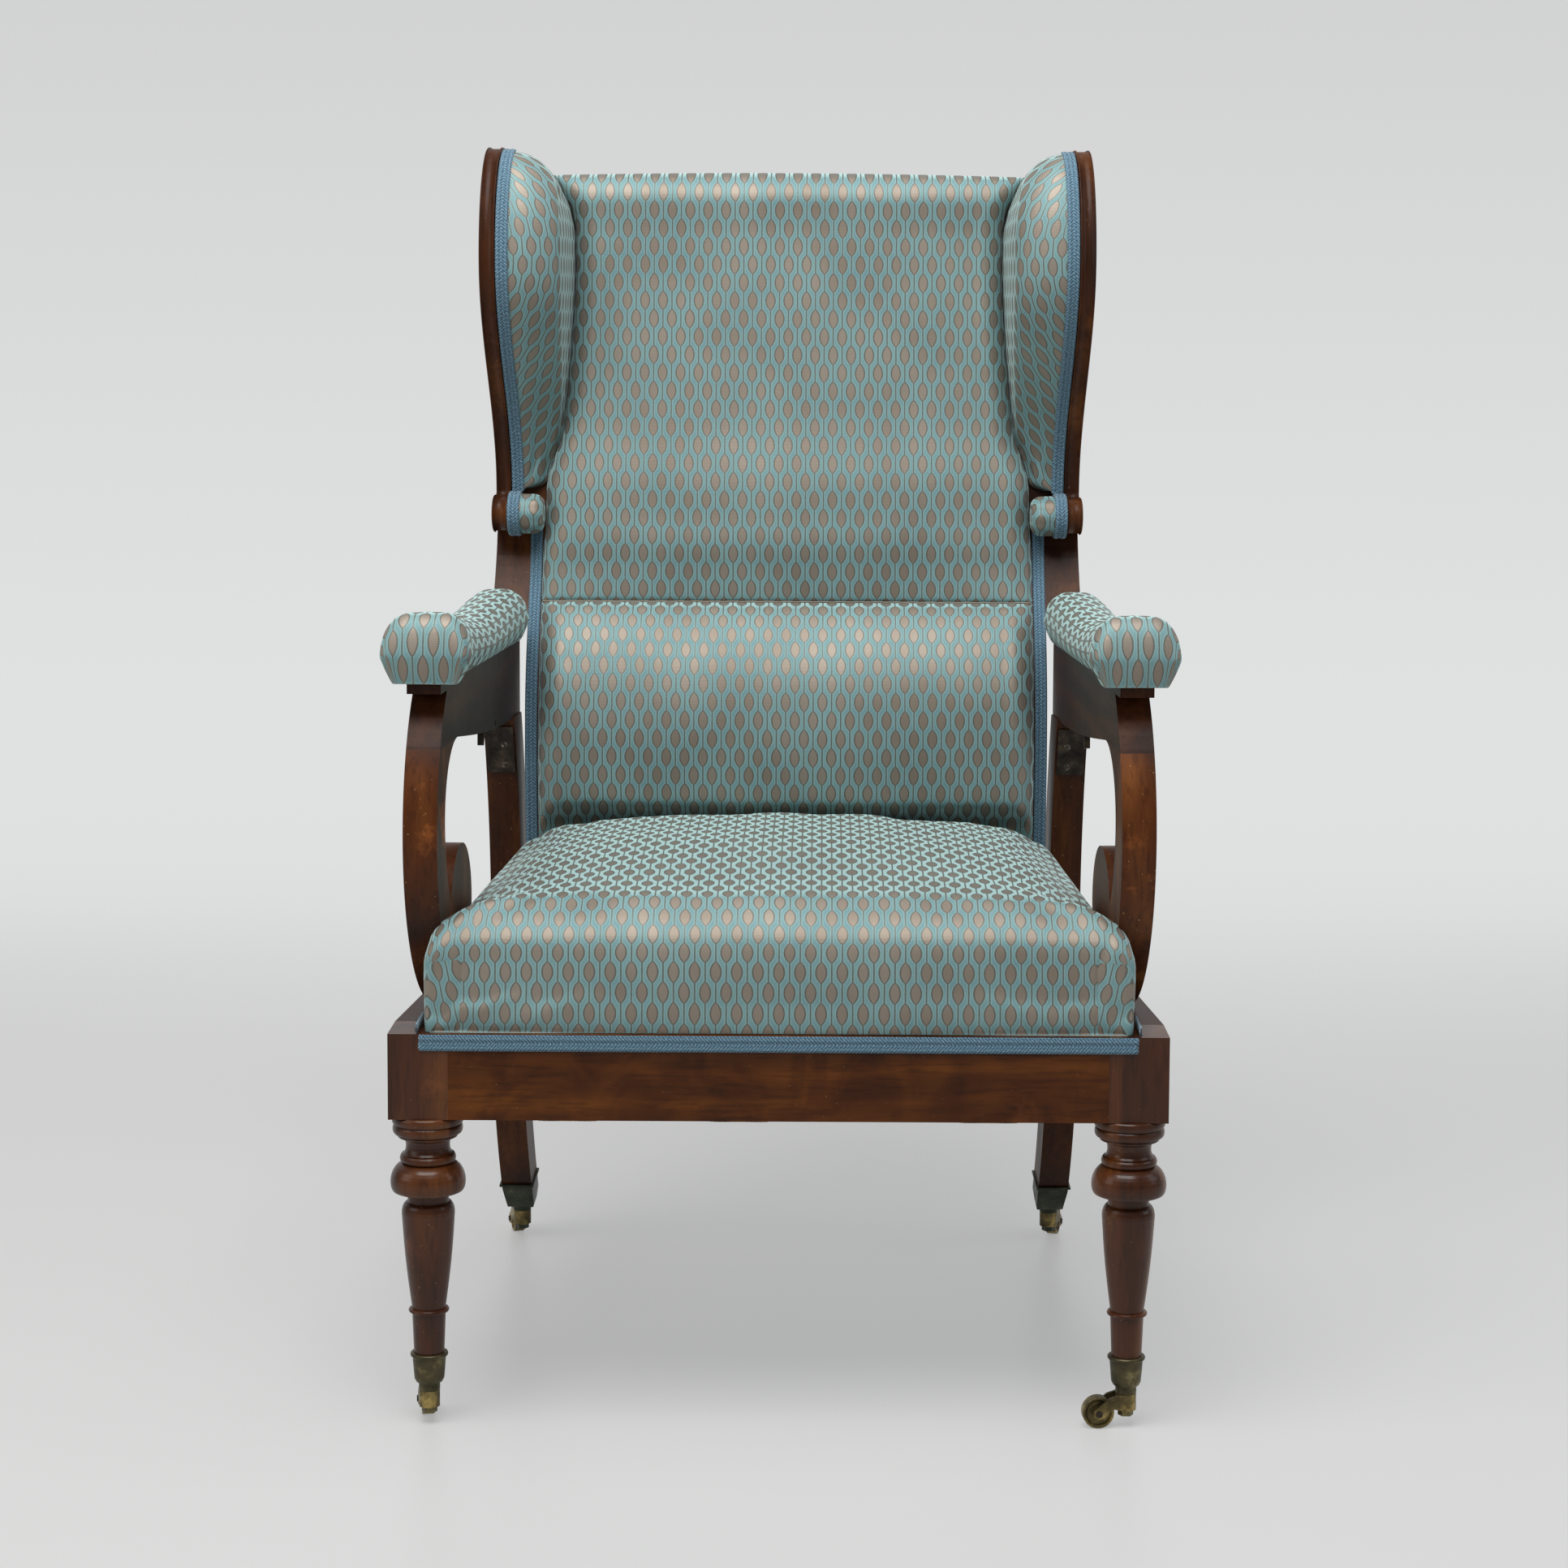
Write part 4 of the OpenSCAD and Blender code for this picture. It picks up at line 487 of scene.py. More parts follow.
def makeWingBoard(name, side, node):
    # the wing's outline in depth and height, as rings across the board; inset and drawn follow a quarter round at
    # each face. Known fault: their sine and cosine are exchanged, which leaves a shallow groove round the edge,
    # and the boards' faces point inwards.
    s = board
    belly, crest, reach = wing["belly"], wing["crestDepth"], wing["crestDepth"] - wing["bellyDepth"]
    z = np.linspace(s["low"], belly, 60)
    angle = np.linspace(0, np.pi / 2, 40)[1:]
    share = np.linspace(0, 1, 20)[1:]
    rear = stileFront(s["backTop"]) + s["deep"]
    down = np.linspace(s["backTop"], s["heel"], 60)[1:]
    lean = np.arcsin(s["scrollLean"])
    spin = -lean - (2 * np.pi - 2 * lean) * np.linspace(0, 1, 60)
    depth = np.concatenate([wingFront(z), crest - reach * np.cos(angle), crest + (rear - crest) * share,
                            stileFront(down) + s["deep"], s["scroll"][0] + s["scrollRadius"] * np.cos(spin)])
    level = np.concatenate([z, belly + (s["top"] - belly) * np.sin(angle), s["top"] - s["drop"] * share**2,
                            down, s["scroll"][1] + s["scrollRadius"] * np.sin(spin)])
    run = lengthAlong(depth, level)
    even = np.linspace(0, run[-1], s["points"])
    depth, level = np.interp(even, run, depth), np.interp(even, run, level)
    forward = headings(depth, level)
    turn = np.linspace(0, np.pi / 2, 5)
    inward, shrunk = s["round"] * (1 - np.sin(turn)), s["round"] * (1 - np.cos(turn))
    inset = np.concatenate([inward, chair["wingThick"] - inward[::-1]])[::-1]
    drawn = np.concatenate([shrunk, shrunk[::-1]])[::-1]
    rings = boardPoint(side, depth[None] + forward[None, :, 1] * drawn[:, None], inset[:, None],
                       level[None] - forward[None, :, 0] * drawn[:, None])
    count, around = rings.shape[:2]
    quads, ends = gridQuads(count, around), np.arange(around)
    groups = [quads, ends[None, ::-1], (ends + (count - 1) * around)[None]]
    if side < 0:
        groups = [g[:, ::-1] for g in groups]
    piece = makeMesh(name, rings.reshape(-1, 3), groups)
    piece.data.polygons.foreach_set("use_smooth", np.arange(len(piece.data.polygons)) < len(quads))
    dress(piece, upright, "backrest", "mahogany", node)


seat = {
    "counts": (84, 72, 12), "bunch": 0.45,      # grid steps, and how far they close up at the edges
    "seamAt": 0.291, "seamDeep": 0.0014, "seamWide": 0.0012, "seamClear": 0.008,
    "seamLines": (-0.0045, -0.0016, 0, 0.0016, 0.0045),
    "base": 0.3613, "front": 0.0003, "rear": 0.488, "frontHalf": 0.318, "armHalf": 0.3019, "rearHalf": 0.2744,
    "earDepth": 0.030, "postDepth": 0.43, "cornerDepth": 0.016, "cornerDraw": 0.010,
    "wall": 0.064, "roll": 0.041, "frontRoll": 1.25, "crown": 0.005, "crownReach": 0.2, "swell": 0.42,
    "draw": 0.004, "bow": 0.004, "belly": 0.002, "unevenness": 0.0007, "unevenSize": 0.11, "cap": 0.006,
}


def seatHalf(depth):  # wide before the scrolls, then narrowing with the arms to the posts
    s = seat
    behind = s["armHalf"] - (depth - s["earDepth"]) * np.sin(taper)
    half = behind + (s["frontHalf"] - behind) * (1 - ease((depth - s["earDepth"]) / 0.03))
    return half + (s["rearHalf"] - half) * ease((depth - s["postDepth"]) / 0.055)


def makeSeat():
    # height = base + c * (wall + (roll + crown) * rounds of the distances to the edges), over the seat's plan
    s = seat
    seam = s["seamAt"] / s["frontHalf"]
    nearSeam = np.array(s["seamLines"]) / s["frontHalf"]
    lines = 2 * evenly(s["counts"][0], s["bunch"]) - 1
    lines = lines[np.abs(np.abs(lines) - seam) > s["seamClear"] / s["frontHalf"]]
    lines = np.sort(np.concatenate([lines, seam + nearSeam, -seam + nearSeam]))
    counts = (len(lines) - 1, *s["counts"][1:])
    steps, faces, sides = boxSkin(counts)
    t = lines[steps[:, 0]]
    b = evenly(counts[1], s["bunch"])[steps[:, 1]]
    c = steps[:, 2] / counts[2]
    atFront = b < 0.001
    depth = s["front"] + (s["rear"] - s["front"]) * b
    corner = np.clip((depth - s["front"]) / s["cornerDepth"], 0, 1)
    half = seatHalf(depth) - s["cornerDraw"] * (1 - np.sqrt(1 - (1 - corner) ** 2))
    x = t * half
    toSide = (1 - np.abs(t)) * half
    toFront, toRear = depth - s["front"], s["rear"] - depth
    frontRoll = s["roll"] * s["frontRoll"]
    rounded = roundShare(toSide, s["roll"]) * roundShare(toFront, frontRoll) * roundShare(toRear, s["roll"])
    crown = s["crown"] * np.sin(np.pi / 2 * np.clip(toSide / s["crownReach"], 0, 1))
    swellUp = 1 + s["swell"] * (1 - t**2) * ease((depth - 0.024) / 0.24)
    rise = s["wall"] + rounded * (s["roll"] + crown) * swellUp
    z = s["base"] + c * rise
    x = x - np.sign(t) * s["draw"] * (1 - np.clip(c * 2, 0, 1)) ** 2 * (np.abs(t) > 0.999)
    belly = s["belly"] * np.sin(np.pi * np.clip(c, 0, 1))
    groove = s["seamDeep"] * np.exp(-((np.abs(t) - seam) * s["frontHalf"] / s["seamWide"]) ** 2)
    y = depth + (s["bow"] * t**2 - belly + s["draw"] * (1 - c) ** 3 + groove) * atFront
    points = np.stack([x, y - chair["depthCentre"], z], -1)
    ends = np.clip(toSide / 0.03, 0, 1) * np.clip(toFront / 0.03, 0, 1)
    points[:, 2] += s["unevenness"] * wander(points, s["unevenSize"], 5) * c * ends

    # the cloth runs from the back over the front edge; each side has its own piece
    top = np.stack([x + np.sign(x) * rollLength(toSide, s["roll"]) * roundShare(toFront, s["roll"]),
                    depth - rollLength(toFront, frontRoll) - s["wall"] * (1 - c) * atFront], -1)
    side = np.stack([depth + s["frontHalf"] - np.abs(x) + 0.22 * rise * c, rise * c], -1)
    ofSide = np.isin(sides, (0, 1)) | ((sides == 2) & (np.abs(t)[faces].mean(1) > seam))
    uv = np.where(ofSide[:, None, None], side[faces], top[faces])
    piece = makeMesh("seatCushion", points, faces, uv)
    snug = ease((0.06 - depth) / 0.04)  # free to swell only in front of the scrolls and on top
    cap = np.where(toSide < 0.02, 0.0008 + 0.003 * snug, s["cap"])
    swell(piece, c < 0.01, np.minimum(cap, 0.001 + 0.3 * toRear))
    finishPad(piece, "seat_frame", 0.85, "seat_cushion")


makeSeat()
print("seat cushion made")


wing = {
    "counts": (70, 30, 5), "bunch": 1.6, "low": 0.812, "high": 1.1595, "belly": 1.048,
    "crestDepth": 0.521, "bellyDepth": 0.452, "edge": 0.0035, "wall": 0.013, "height": 0.050, "lowShare": 0.75,
    "roll": 0.034, "lowRound": 0.010, "crestRound": 0.090, "drop": 0.014, "puff": 0.06,
    "unevenness": 0.0005, "unevenSize": 0.09, "cap": 0.003,
    "rollDepth": 0.5473, "rollHeight": 0.7885, "rollRadius": 0.0208, "rollReach": 0.0365, "rollRound": 0.010,
    "pleats": 9, "pleatDeep": 0.05,
}


def wingPadFront(z):
    s = wing
    rise = np.clip((z - s["belly"]) / (s["high"] - s["belly"]), 0, 1)
    crest = s["crestDepth"] - (s["crestDepth"] - s["bellyDepth"] - s["edge"]) * np.sqrt(1 - rise**2)
    return np.where(z < s["belly"], wingFront(z) + s["edge"], crest)


def wingPadDeep(z):
    return stileFront(np.minimum(z, board["backTop"])) - chair["gap"] - wingPadFront(z)


def wingPadRise(z):  # how far a wing's stuffing stands off its wall, behind the front roll
    s = wing
    lowShare = s["lowShare"] + (1 - s["lowShare"]) * ease((z - s["low"]) / (s["belly"] - s["low"]))
    ends = roundShare(z - s["low"], s["lowRound"]) * roundShare(s["high"] - z, s["crestRound"])
    return s["height"] * lowShare * np.sqrt(np.clip(wingPadDeep(z) / s["roll"], 0, 1)) * ends


back = {
    "upper": {"counts": (72, 64, 6), "low": 0.6992, "high": 1.1428, "thick": 0.042, "valley": 0.072, "seed": 3},
    "lumbar": {"counts": (72, 56, 6), "low": 0.4373, "high": 0.6988, "thick": 0.049, "valley": 0.048, "seed": 4},
    "bunch": (0.5, 0.6), "wall": 0.005, "half": 0.2542, "roll": 0.026, "crown": 0.0034, "overRail": 0.0438,
    "flatter": 0.3,                             # share of the fullness lost from the middle to the sides
    "bulge": 0.2, "bulgeAt": 0.11, "bulgeWide": 0.06, "bottomAt": 0.034,
    "seamLevel": 0.699, "seamThick": 0.008, "seamBow": 0.16, "lip": 0.004, "weltRadius": 0.0008, "stitch": 0.0186,
    "unevenness": 0.0004, "unevenSize": 0.12, "cap": 0.004,
}


def backHalfAt(z):  # full width up to the wings' rolls, then out to the wing pads
    rise = wingPadRise(np.maximum(z, wing["low"] + wing["lowRound"]))
    side = chair["sideHalf"] - stileFront(z) * np.sin(taper) - chair["wingThick"] - wing["wall"] - rise
    side = side + 0.0005 + 0.007 * ease((z - 1.09) / 0.04)  # tucked in beside the wing pad
    return back["half"] + (side - back["half"]) * ease((z - 0.747) / 0.026)


def makeBackPad(name, form, upper):
    # thickness in front of the stiles' curve = wall + round of the distance to the sides * valley toward the seam
    steps, faces, sides = boxSkin(form["counts"])
    a = evenly(form["counts"][0], back["bunch"][0])[steps[:, 0]]
    b = evenly(form["counts"][1], back["bunch"][1])[steps[:, 1]]
    c = steps[:, 2] / form["counts"][2]
    t = 2 * a - 1
    high = form["high"] - back["crown"] * t**2 if upper else form["high"]
    z = form["low"] + (high - form["low"]) * b
    half = backHalfAt(z) if upper else np.full_like(z, back["half"])
    x = t * half
    toSide = (1 - np.abs(t)) * half
    toSeam, toFree = (z - form["low"], high - z) if upper else (high - z, z - form["low"])
    fullness = form["thick"] - back["wall"]
    seamShare = (back["seamThick"] - back["wall"]) / fullness + back["seamBow"] * t**2
    if upper:  # rises evenly, so that the face stands nearly upright over the seam
        valley = seamShare + (1 - seamShare) * np.sin(np.pi / 2 * np.clip(toSeam / form["valley"], 0, 1)) ** 0.9
        valley *= 1 + back["bulge"] * np.exp(-((toSeam - back["bulgeAt"]) / back["bulgeWide"]) ** 2)
        free = roundShare(toFree, back["roll"] * 1.2)
    else:  # rolls steeply into the seam
        valley = seamShare + (1 - seamShare) * roundShare(toSeam, form["valley"])
        free = ease((toFree - back["bottomAt"]) / 0.03)
    lip = roundShare(toSeam, back["lip"]) * 0.4 + 0.6  # the cloth dips into the seam's stitches
    full = roundShare(toSide, back["roll"]) * valley * lip * free * (1 - back["flatter"] * t**2)
    thick = back["wall"] + fullness * full
    y = stileFront(np.minimum(z, board["backTop"])) - chair["gap"] - c * thick
    if upper:  # the top end reaches back over the rail
        y = y + back["overRail"] * (toFree < 1e-6) * (1 - c)
    points = np.stack([x, y - chair["depthCentre"], z], -1)
    uneven = back["unevenness"] * wander(points, back["unevenSize"], form["seed"])
    points[:, 1] += uneven * c * np.clip(toSide / 0.04, 0, 1) * free

    # the cloth's map: true lengths over the face at mid width, drawn out a little over the side rolls
    line = np.linspace(form["low"], form["high"], 200)
    near = line - form["low"] if upper else form["high"] - line
    rising = np.sin(np.pi / 2 * np.clip(near / form["valley"], 0, 1))
    bulge = (form["thick"] - back["seamThick"]) * (rising if upper else roundShare(near, form["valley"]))
    bulge = back["seamThick"] + bulge
    run = lengthAlong(line, stileFront(line) - bulge)
    run += back["seamLevel"] - (run[0] if upper else run[-1])
    v = np.interp(z, line, run)
    front = np.stack([x + np.sign(x) * 0.35 * rollLength(toSide, back["roll"]), v], -1)
    edge = np.stack([x + c * thick, v], -1)
    brim = np.stack([x, v + c * thick], -1)
    uv = np.where(np.isin(sides, (0, 1))[:, None, None], edge[faces], front[faces])
    uv = np.where(np.isin(sides, (2, 3))[:, None, None], brim[faces], uv)
    piece = makeMesh(name, points, faces[:, ::-1], uv[:, ::-1])  # known fault: these faces point inwards
    cap = back["cap"] * np.clip(toSide / 0.03, 0.05, 1)
    swell(piece, (c < 0.01) | (toSeam < 0.001),
          cap * np.clip(toSeam / 0.04, 0.02, 1) * np.clip(toFree / 0.06, 0.02, 1))
    finishPad(piece, "backrest", 0.75, "upper_back_pad" if upper else "lumbar_pad")


makeBackPad("upperBackPad", back["upper"], True)
makeBackPad("lumbarPad", back["lumbar"], False)


def seamWelt():  # the folded edge of the satin, drawn down a little between the stitches of the back's seam
    radius, level = back["weltRadius"], back["upper"]["low"] - 0.0002
    x = np.linspace(-back["half"] + 0.001, back["half"] - 0.001, 360)[:, None]
    angle = np.linspace(0, 2 * np.pi, 12, endpoint=False)[None]
    front = stileFront(level) - chair["gap"] - back["seamThick"] - radius - chair["depthCentre"]
    z = level + 0.0004 * np.abs(np.cos(np.pi * x / back["stitch"]))
    rings = np.stack(np.broadcast_arrays(x, front + radius * np.cos(angle), z + radius * np.sin(angle)), -1)
    points, groups = sweepRings(rings)
    piece = makeMesh("backSeamWelt", points, groups, perCorner(np.zeros((len(points), 2)), groups))
    dress(piece, silk, "backrest", "figured_silk")


seamWelt()
print("back pads made")


makeWingBoard("leftWingBoard", -1, "left_wing")
makeWingBoard("rightWingBoard", 1, "right_wing")
print("wing boards made")


def makeWingPad(name, side, node):
    # level rows: height off the board = wall + round of the distance to the front edge * the row's rise
    s = wing
    steps, faces, sides = boxSkin(s["counts"])
    rows, columns = evenly(s["counts"][0], 0.5), np.linspace(0, 1, s["counts"][1] + 1) ** s["bunch"]

    def surface(a, b, c):
        z = s["low"] + (s["high"] - s["low"]) * a
        deep, rise = wingPadDeep(z), wingPadRise(z)
        depth = wingPadFront(z) + deep * b
        puff = 1 + s["puff"] * np.sin(np.pi * b) * ease((z - s["low"]) / 0.1)
        height = c * (s["wall"] + rise * roundShare(deep * b, np.minimum(s["roll"], deep)) * puff)
        level = z - s["drop"] * b**2 * ease((z - s["belly"]) / (s["high"] - s["belly"]))
        spots = np.stack(np.broadcast_arrays(depth, z, height), -1).reshape(-1, 3)
        uneven = wander(spots, s["unevenSize"], 7 + side).reshape(height.shape)
        height = height + s["unevenness"] * uneven * c * np.clip(rise / 0.02, 0, 1)
        return boardPoint(side, depth, chair["wingThick"] + chair["gap"] + height, level)

    c = steps[:, 2] / s["counts"][2]
    points = surface(rows[steps[:, 0]], columns[steps[:, 1]], c)
    # the cloth's map: true length along each row from the back, so its columns pull forward with the wing's edge
    top = surface(rows[:, None], columns[None], np.ones((1, 1)))
    along = np.cumsum(np.linalg.norm(np.diff(top, axis=1), axis=2), axis=1)
    along = np.concatenate([np.zeros((len(rows), 1)), along], 1)
    up = np.cumsum(np.linalg.norm(np.diff(top, axis=0), axis=2), axis=0)
    up = np.concatenate([np.zeros((1, len(columns))), up], 0)
    rear = stileFront(s["low"] + (s["high"] - s["low"]) * rows)[:, None]
    u = (rear - (along[:, -1:] - along))[steps[:, 0], steps[:, 1]]
    v = (s["low"] + up.mean(1))[steps[:, 0]]
    face = np.stack([u, v], -1)
    brim = np.stack([u, v + np.where(steps[:, 0] == 0, -1, 1) * s["wall"] * (1 - c)], -1)
    lip = np.stack([u - s["wall"] * (1 - c), v], -1)
    uv = np.where(np.isin(sides, (0, 1))[:, None, None], brim[faces], face[faces])
    uv = np.where(np.isin(sides, (2, 3))[:, None, None], lip[faces], uv)
    if side > 0:  # known fault: the other side is the one to turn, so both wing pads' faces point inwards
        faces, uv = faces[:, ::-1], uv[:, ::-1]
    piece = makeMesh(name, points, faces, uv)
    toFront = columns[steps[:, 1]]
    cap = s["cap"] * np.clip(toFront / 0.1, 0.1, 1) * np.clip((1 - toFront) / 0.3, 0.02, 1)
    swell(piece, c < 0.01, cap)
    finishPad(piece, "backrest", 0.8, node)


def makeWingRoll(name, side, node):
    # the covered roll beside the wing's scroll: a short cylinder with a rounded, pleated inner end
    s = wing
    turn = np.linspace(0, 2 * np.pi, 48, endpoint=False)
    straight = s["rollReach"] - s["rollRound"]
    along = np.concatenate([np.linspace(0, straight, 9),
                            s["rollReach"] - s["rollRound"] * (1 - np.sin(np.linspace(0.15, 1.5, 7)))])
    over = np.clip(1 - ((along - straight) / s["rollRound"]) ** 2, 0, 1)
    radius = s["rollRadius"] - np.where(along < straight, 0, s["rollRound"] * (1 - np.sqrt(over)))
    pleat = (0.5 + 0.5 * np.cos(turn[None] * s["pleats"])) * ease(along[:, None] / s["rollReach"])
    r = radius[:, None] * (1 - s["pleatDeep"] * pleat)
    inset = chair["wingThick"] + chair["gap"] + along[:, None] + 0 * r
    rings = boardPoint(side, s["rollDepth"] + r * np.cos(turn), inset, s["rollHeight"] + r * np.sin(turn))
    if side > 0:
        rings = rings[:, ::-1]
    points, groups = sweepRings(rings)
    turned = np.concatenate([np.broadcast_to(turn * s["rollRadius"], r.shape).ravel(), [0, 0]])
    reached = np.concatenate([np.broadcast_to(along[:, None], r.shape).ravel(), [0, s["rollReach"] + 0.01]])
    piece = makeMesh(name, points, groups, perCorner(np.stack([reached, turned], -1), groups))
    finishPad(piece, "backrest", 0.9, node)


makeWingPad("leftWingPad", -1, "left_wing_pad")
makeWingRoll("leftWingRoll", -1, "left_wing_pad")
makeWingPad("rightWingPad", 1, "right_wing_pad")
makeWingRoll("rightWingRoll", 1, "right_wing_pad")
print("wing pads made")


arm = {
    "counts": (26, 64, 8), "bunch": (0.3, 0.4), "front": 0.024, "rear": 0.505,
    "railLength": 0.519, "top": 0.668, "fall": 0.006,
    "armThick": 0.0305, "offset": 0.002, "outward": 0.004, "frontHalf": 0.0418, "half": 0.032, "flare": 0.24,
    "height": 0.0625, "wallShare": 0.42, "roll": 0.0245, "dip": 0.36, "lift": 0.2,
    "draw": 0.012, "frontTuck": 0.006, "rearTuck": 0.004, "unevenness": 0.0004, "unevenSize": 0.06, "cap": 0.002,
}


def makeArmPad(name, side, node):
    # sides lean out from the arm, then round over; height falls behind the flare and rises again at the back
    s = arm
    steps, faces, sides = boxSkin(s["counts"])
    a = evenly(s["counts"][0], s["bunch"][0])[steps[:, 0]]
    b = evenly(s["counts"][1], s["bunch"][1])[steps[:, 1]]
    c = steps[:, 2] / s["counts"][2]
    t = 2 * a - 1
    depth = s["front"] + (s["rear"] - s["front"]) * b
    toFront, toRear = depth - s["front"], s["rear"] - depth
    body = s["half"] + (s["frontHalf"] - s["half"]) * (1 - ease(b / s["flare"]))
    frontRound, rearRound = roundShare(toFront, s["roll"]), roundShare(toRear, s["roll"])
    half = body * (0.86 + 0.14 * frontRound) * (0.8 + 0.2 * rearRound)
    swellUp = 1 - s["dip"] * ease(b / 0.5) + s["lift"] * ease(2 * b - 1)
    wall = s["height"] * s["wallShare"]
    toSide = (1 - np.abs(t)) * half
    over = roundShare(toSide, s["roll"]) * frontRound * rearRound
    rise = (wall + over * (s["height"] - wall)) * swellUp
    x = t * (half - s["draw"] * (1 - c) ** 1.3 * half / s["frontHalf"])
    z = s["top"] - s["fall"] * depth / s["railLength"] + chair["gap"] + c * rise
    depth = depth + s["frontTuck"] * (1 - c) * (b < 0.001) - s["rearTuck"] * (1 - c) * (b > 0.999)
    inset = s["armThick"] / 2 + s["offset"] - s["outward"] * ease(b / 0.3) - x * side
    points = boardPoint(side, depth, inset, z)
    points[:, 2] += s["unevenness"] * wander(points, s["unevenSize"], 20 + side) * c
    top = np.stack([x + np.sign(x) * (rollLength(toSide, s["roll"]) + rise * (1 - c) * (np.abs(t) > 0.999)),
                    depth - rollLength(toFront, s["roll"]) - rise * (1 - c) * (b < 0.001)], -1)
    piece = makeMesh(name, points, faces, top[faces])
    swell(piece, c < 0.01, s["cap"] * np.clip(toRear / 0.02, 0.05, 1))
    finishPad(piece, "seat_frame", 0.85, node)


makeArmPad("leftArmPad", -1, "left_arm_pad")
makeArmPad("rightArmPad", 1, "right_arm_pad")
print("arm pads made")


braid = {
    "width": 0.0125, "seatWidth": 0.0145, "cornerWidth": 0.009, "thick": 0.0024, "loop": 0.0046, "step": 0.0011,
    "flat": 0.34, "chain": 0.3, "stitch": 0.36, "slant": 0.55,  # shares of the thickness, and the loops' slant
    "middle": 0.0065,                           # from the edge of a board or stile to the strip's middle
    "seatHalf": 0.3135, "seatDrop": 0.0075, "seatTurn": 0.004, "legX": 0.3185, "legRise": 0.0048,
    "stileLow": 0.4385, "stileHigh": 0.7725, "wingLow": 0.8105, "wingHigh": 1.046,
}


def gimpStrip(name, path, facing, body, node, width=braid["width"]):
    # a strip carried along a path: across = facing x path; relief = two rows of slanting chain loops
    path, facing = np.asarray(path, float), np.asarray(facing, float)
    run = np.concatenate([[0], np.cumsum(np.linalg.norm(np.diff(path, axis=0), axis=1))])
    count = max(int(run[-1] / braid["step"]), 8)
    s = np.linspace(0, run[-1], count)
    centre = np.stack([np.interp(s, run, path[:, k]) for k in range(3)], -1)
    out = np.stack([np.interp(s, run, facing[:, k]) for k in range(3)], -1)
    forward = np.gradient(centre, s, axis=0)
    forward /= np.linalg.norm(forward, axis=1)[:, None]
    out -= (out * forward).sum(1)[:, None] * forward
    out /= np.linalg.norm(out, axis=1)[:, None]
    across = np.cross(forward, out)
    front = np.linspace(-1, 1, 15)
    t = np.concatenate([front, [0.98, 0, -0.98]])
    row = np.abs(np.abs(front) - 0.5) * 2  # 0 in the middle of a chain, 1 between the chains and at the edges
    slant = s[:, None] / braid["loop"] + braid["slant"] * row * np.sign(front)
    ridge = (0.5 + 0.5 * np.cos(2 * np.pi * slant)) * np.sqrt(1 - 0.92 * row**2)
    share = braid["flat"] + braid["chain"] * np.sqrt(1 - 0.96 * row**2) + braid["stitch"] * ridge
    height = np.hstack([braid["thick"] * share, np.full((count, 3), 0.0002)])
    edge = 1 + 0.012 * np.sin(2 * np.pi * s / braid["loop"])[:, None]
    rings = (centre[:, None] + across[:, None] * (t[None, :, None] * edge[..., None]) * width / 2
             + out[:, None] * height[..., None])
    points, groups = sweepRings(rings)
    u = np.concatenate([np.tile(t * width / 2, count), [0, 0]])
    v = np.concatenate([np.repeat(s, len(t)), [0, s[-1]]])
    piece = makeMesh(name, points, groups, perCorner(np.stack([u, v], -1), groups))
    dress(piece, gimp, body, "gimp_braid", node)


def seatGimp():
    # along the rail's front edge, turned back at each end, and a narrower strip on each leg's square top
    s = braid
    y, z = -chair["depthCentre"] - 0.0002, chair["railTop"] - s["seatDrop"]
    turn = np.linspace(0, np.pi / 2, 8)
    corner = np.stack([s["seatHalf"] + s["seatTurn"] * np.sin(turn), y + s["seatTurn"] * (1 - np.cos(turn)),
                       z + 0 * turn], -1)
    path = np.vstack([[[0.0, y, z]], corner])
    path = np.vstack([path[::-1] * (-1, 1, 1), path[1:]])
    facing = np.tile([0.0, -1.0, 0.0], (len(path), 1))
    facing[:8] = np.stack([-np.sin(turn[::-1]), -np.cos(turn[::-1]), 0 * turn], -1)
    facing[-8:] = np.stack([np.sin(turn), -np.cos(turn), 0 * turn], -1)
    gimpStrip("seatGimp", path, facing, "seat_frame", "seat_braid", s["seatWidth"])
    y = np.linspace(0.002, 0.05, 20) - chair["depthCentre"]
    for side, name in ((-1, "seatGimpLeft"), (1, "seatGimpRight")):
        path = np.stack([side * (s["legX"] + 0 * y), y, chair["railTop"] + s["legRise"] + 0 * y], -1)
        gimpStrip(name, path if side < 0 else path[::-1], np.tile([side * 1.0, 0.0, 0.0], (len(y), 1)),
                  "seat_frame", "seat_braid", s["cornerWidth"])


def backGimp(name, side):  # up the stile, beside the pads
    z = np.linspace(braid["stileLow"], braid["stileHigh"], 60)
    out = np.stack([0 * z, -np.ones_like(z), np.gradient(stileFront(z), z)], -1)
    path = np.stack([side * (chair["backHalf"] - braid["middle"] + 0 * z),
                     stileFront(z) - chair["gap"] - chair["depthCentre"], z], -1)
    gimpStrip(name, path, out, "backrest", "back_braid")


def wingRollGimp(name, side):  # round the covered roll, next to the board
    turn = np.radians(np.linspace(60, 292, 60))
    out = np.stack([0 * turn, np.cos(turn), np.sin(turn)], -1)
    reach = wing["rollRadius"] + 0.0004
    inset = chair["wingThick"] + chair["gap"] + braid["middle"]
    path = boardPoint(side, wing["rollDepth"] + reach * np.cos(turn), inset,
                      wing["rollHeight"] + reach * np.sin(turn))
    gimpStrip(name, path, out, "backrest", "wing_braid")


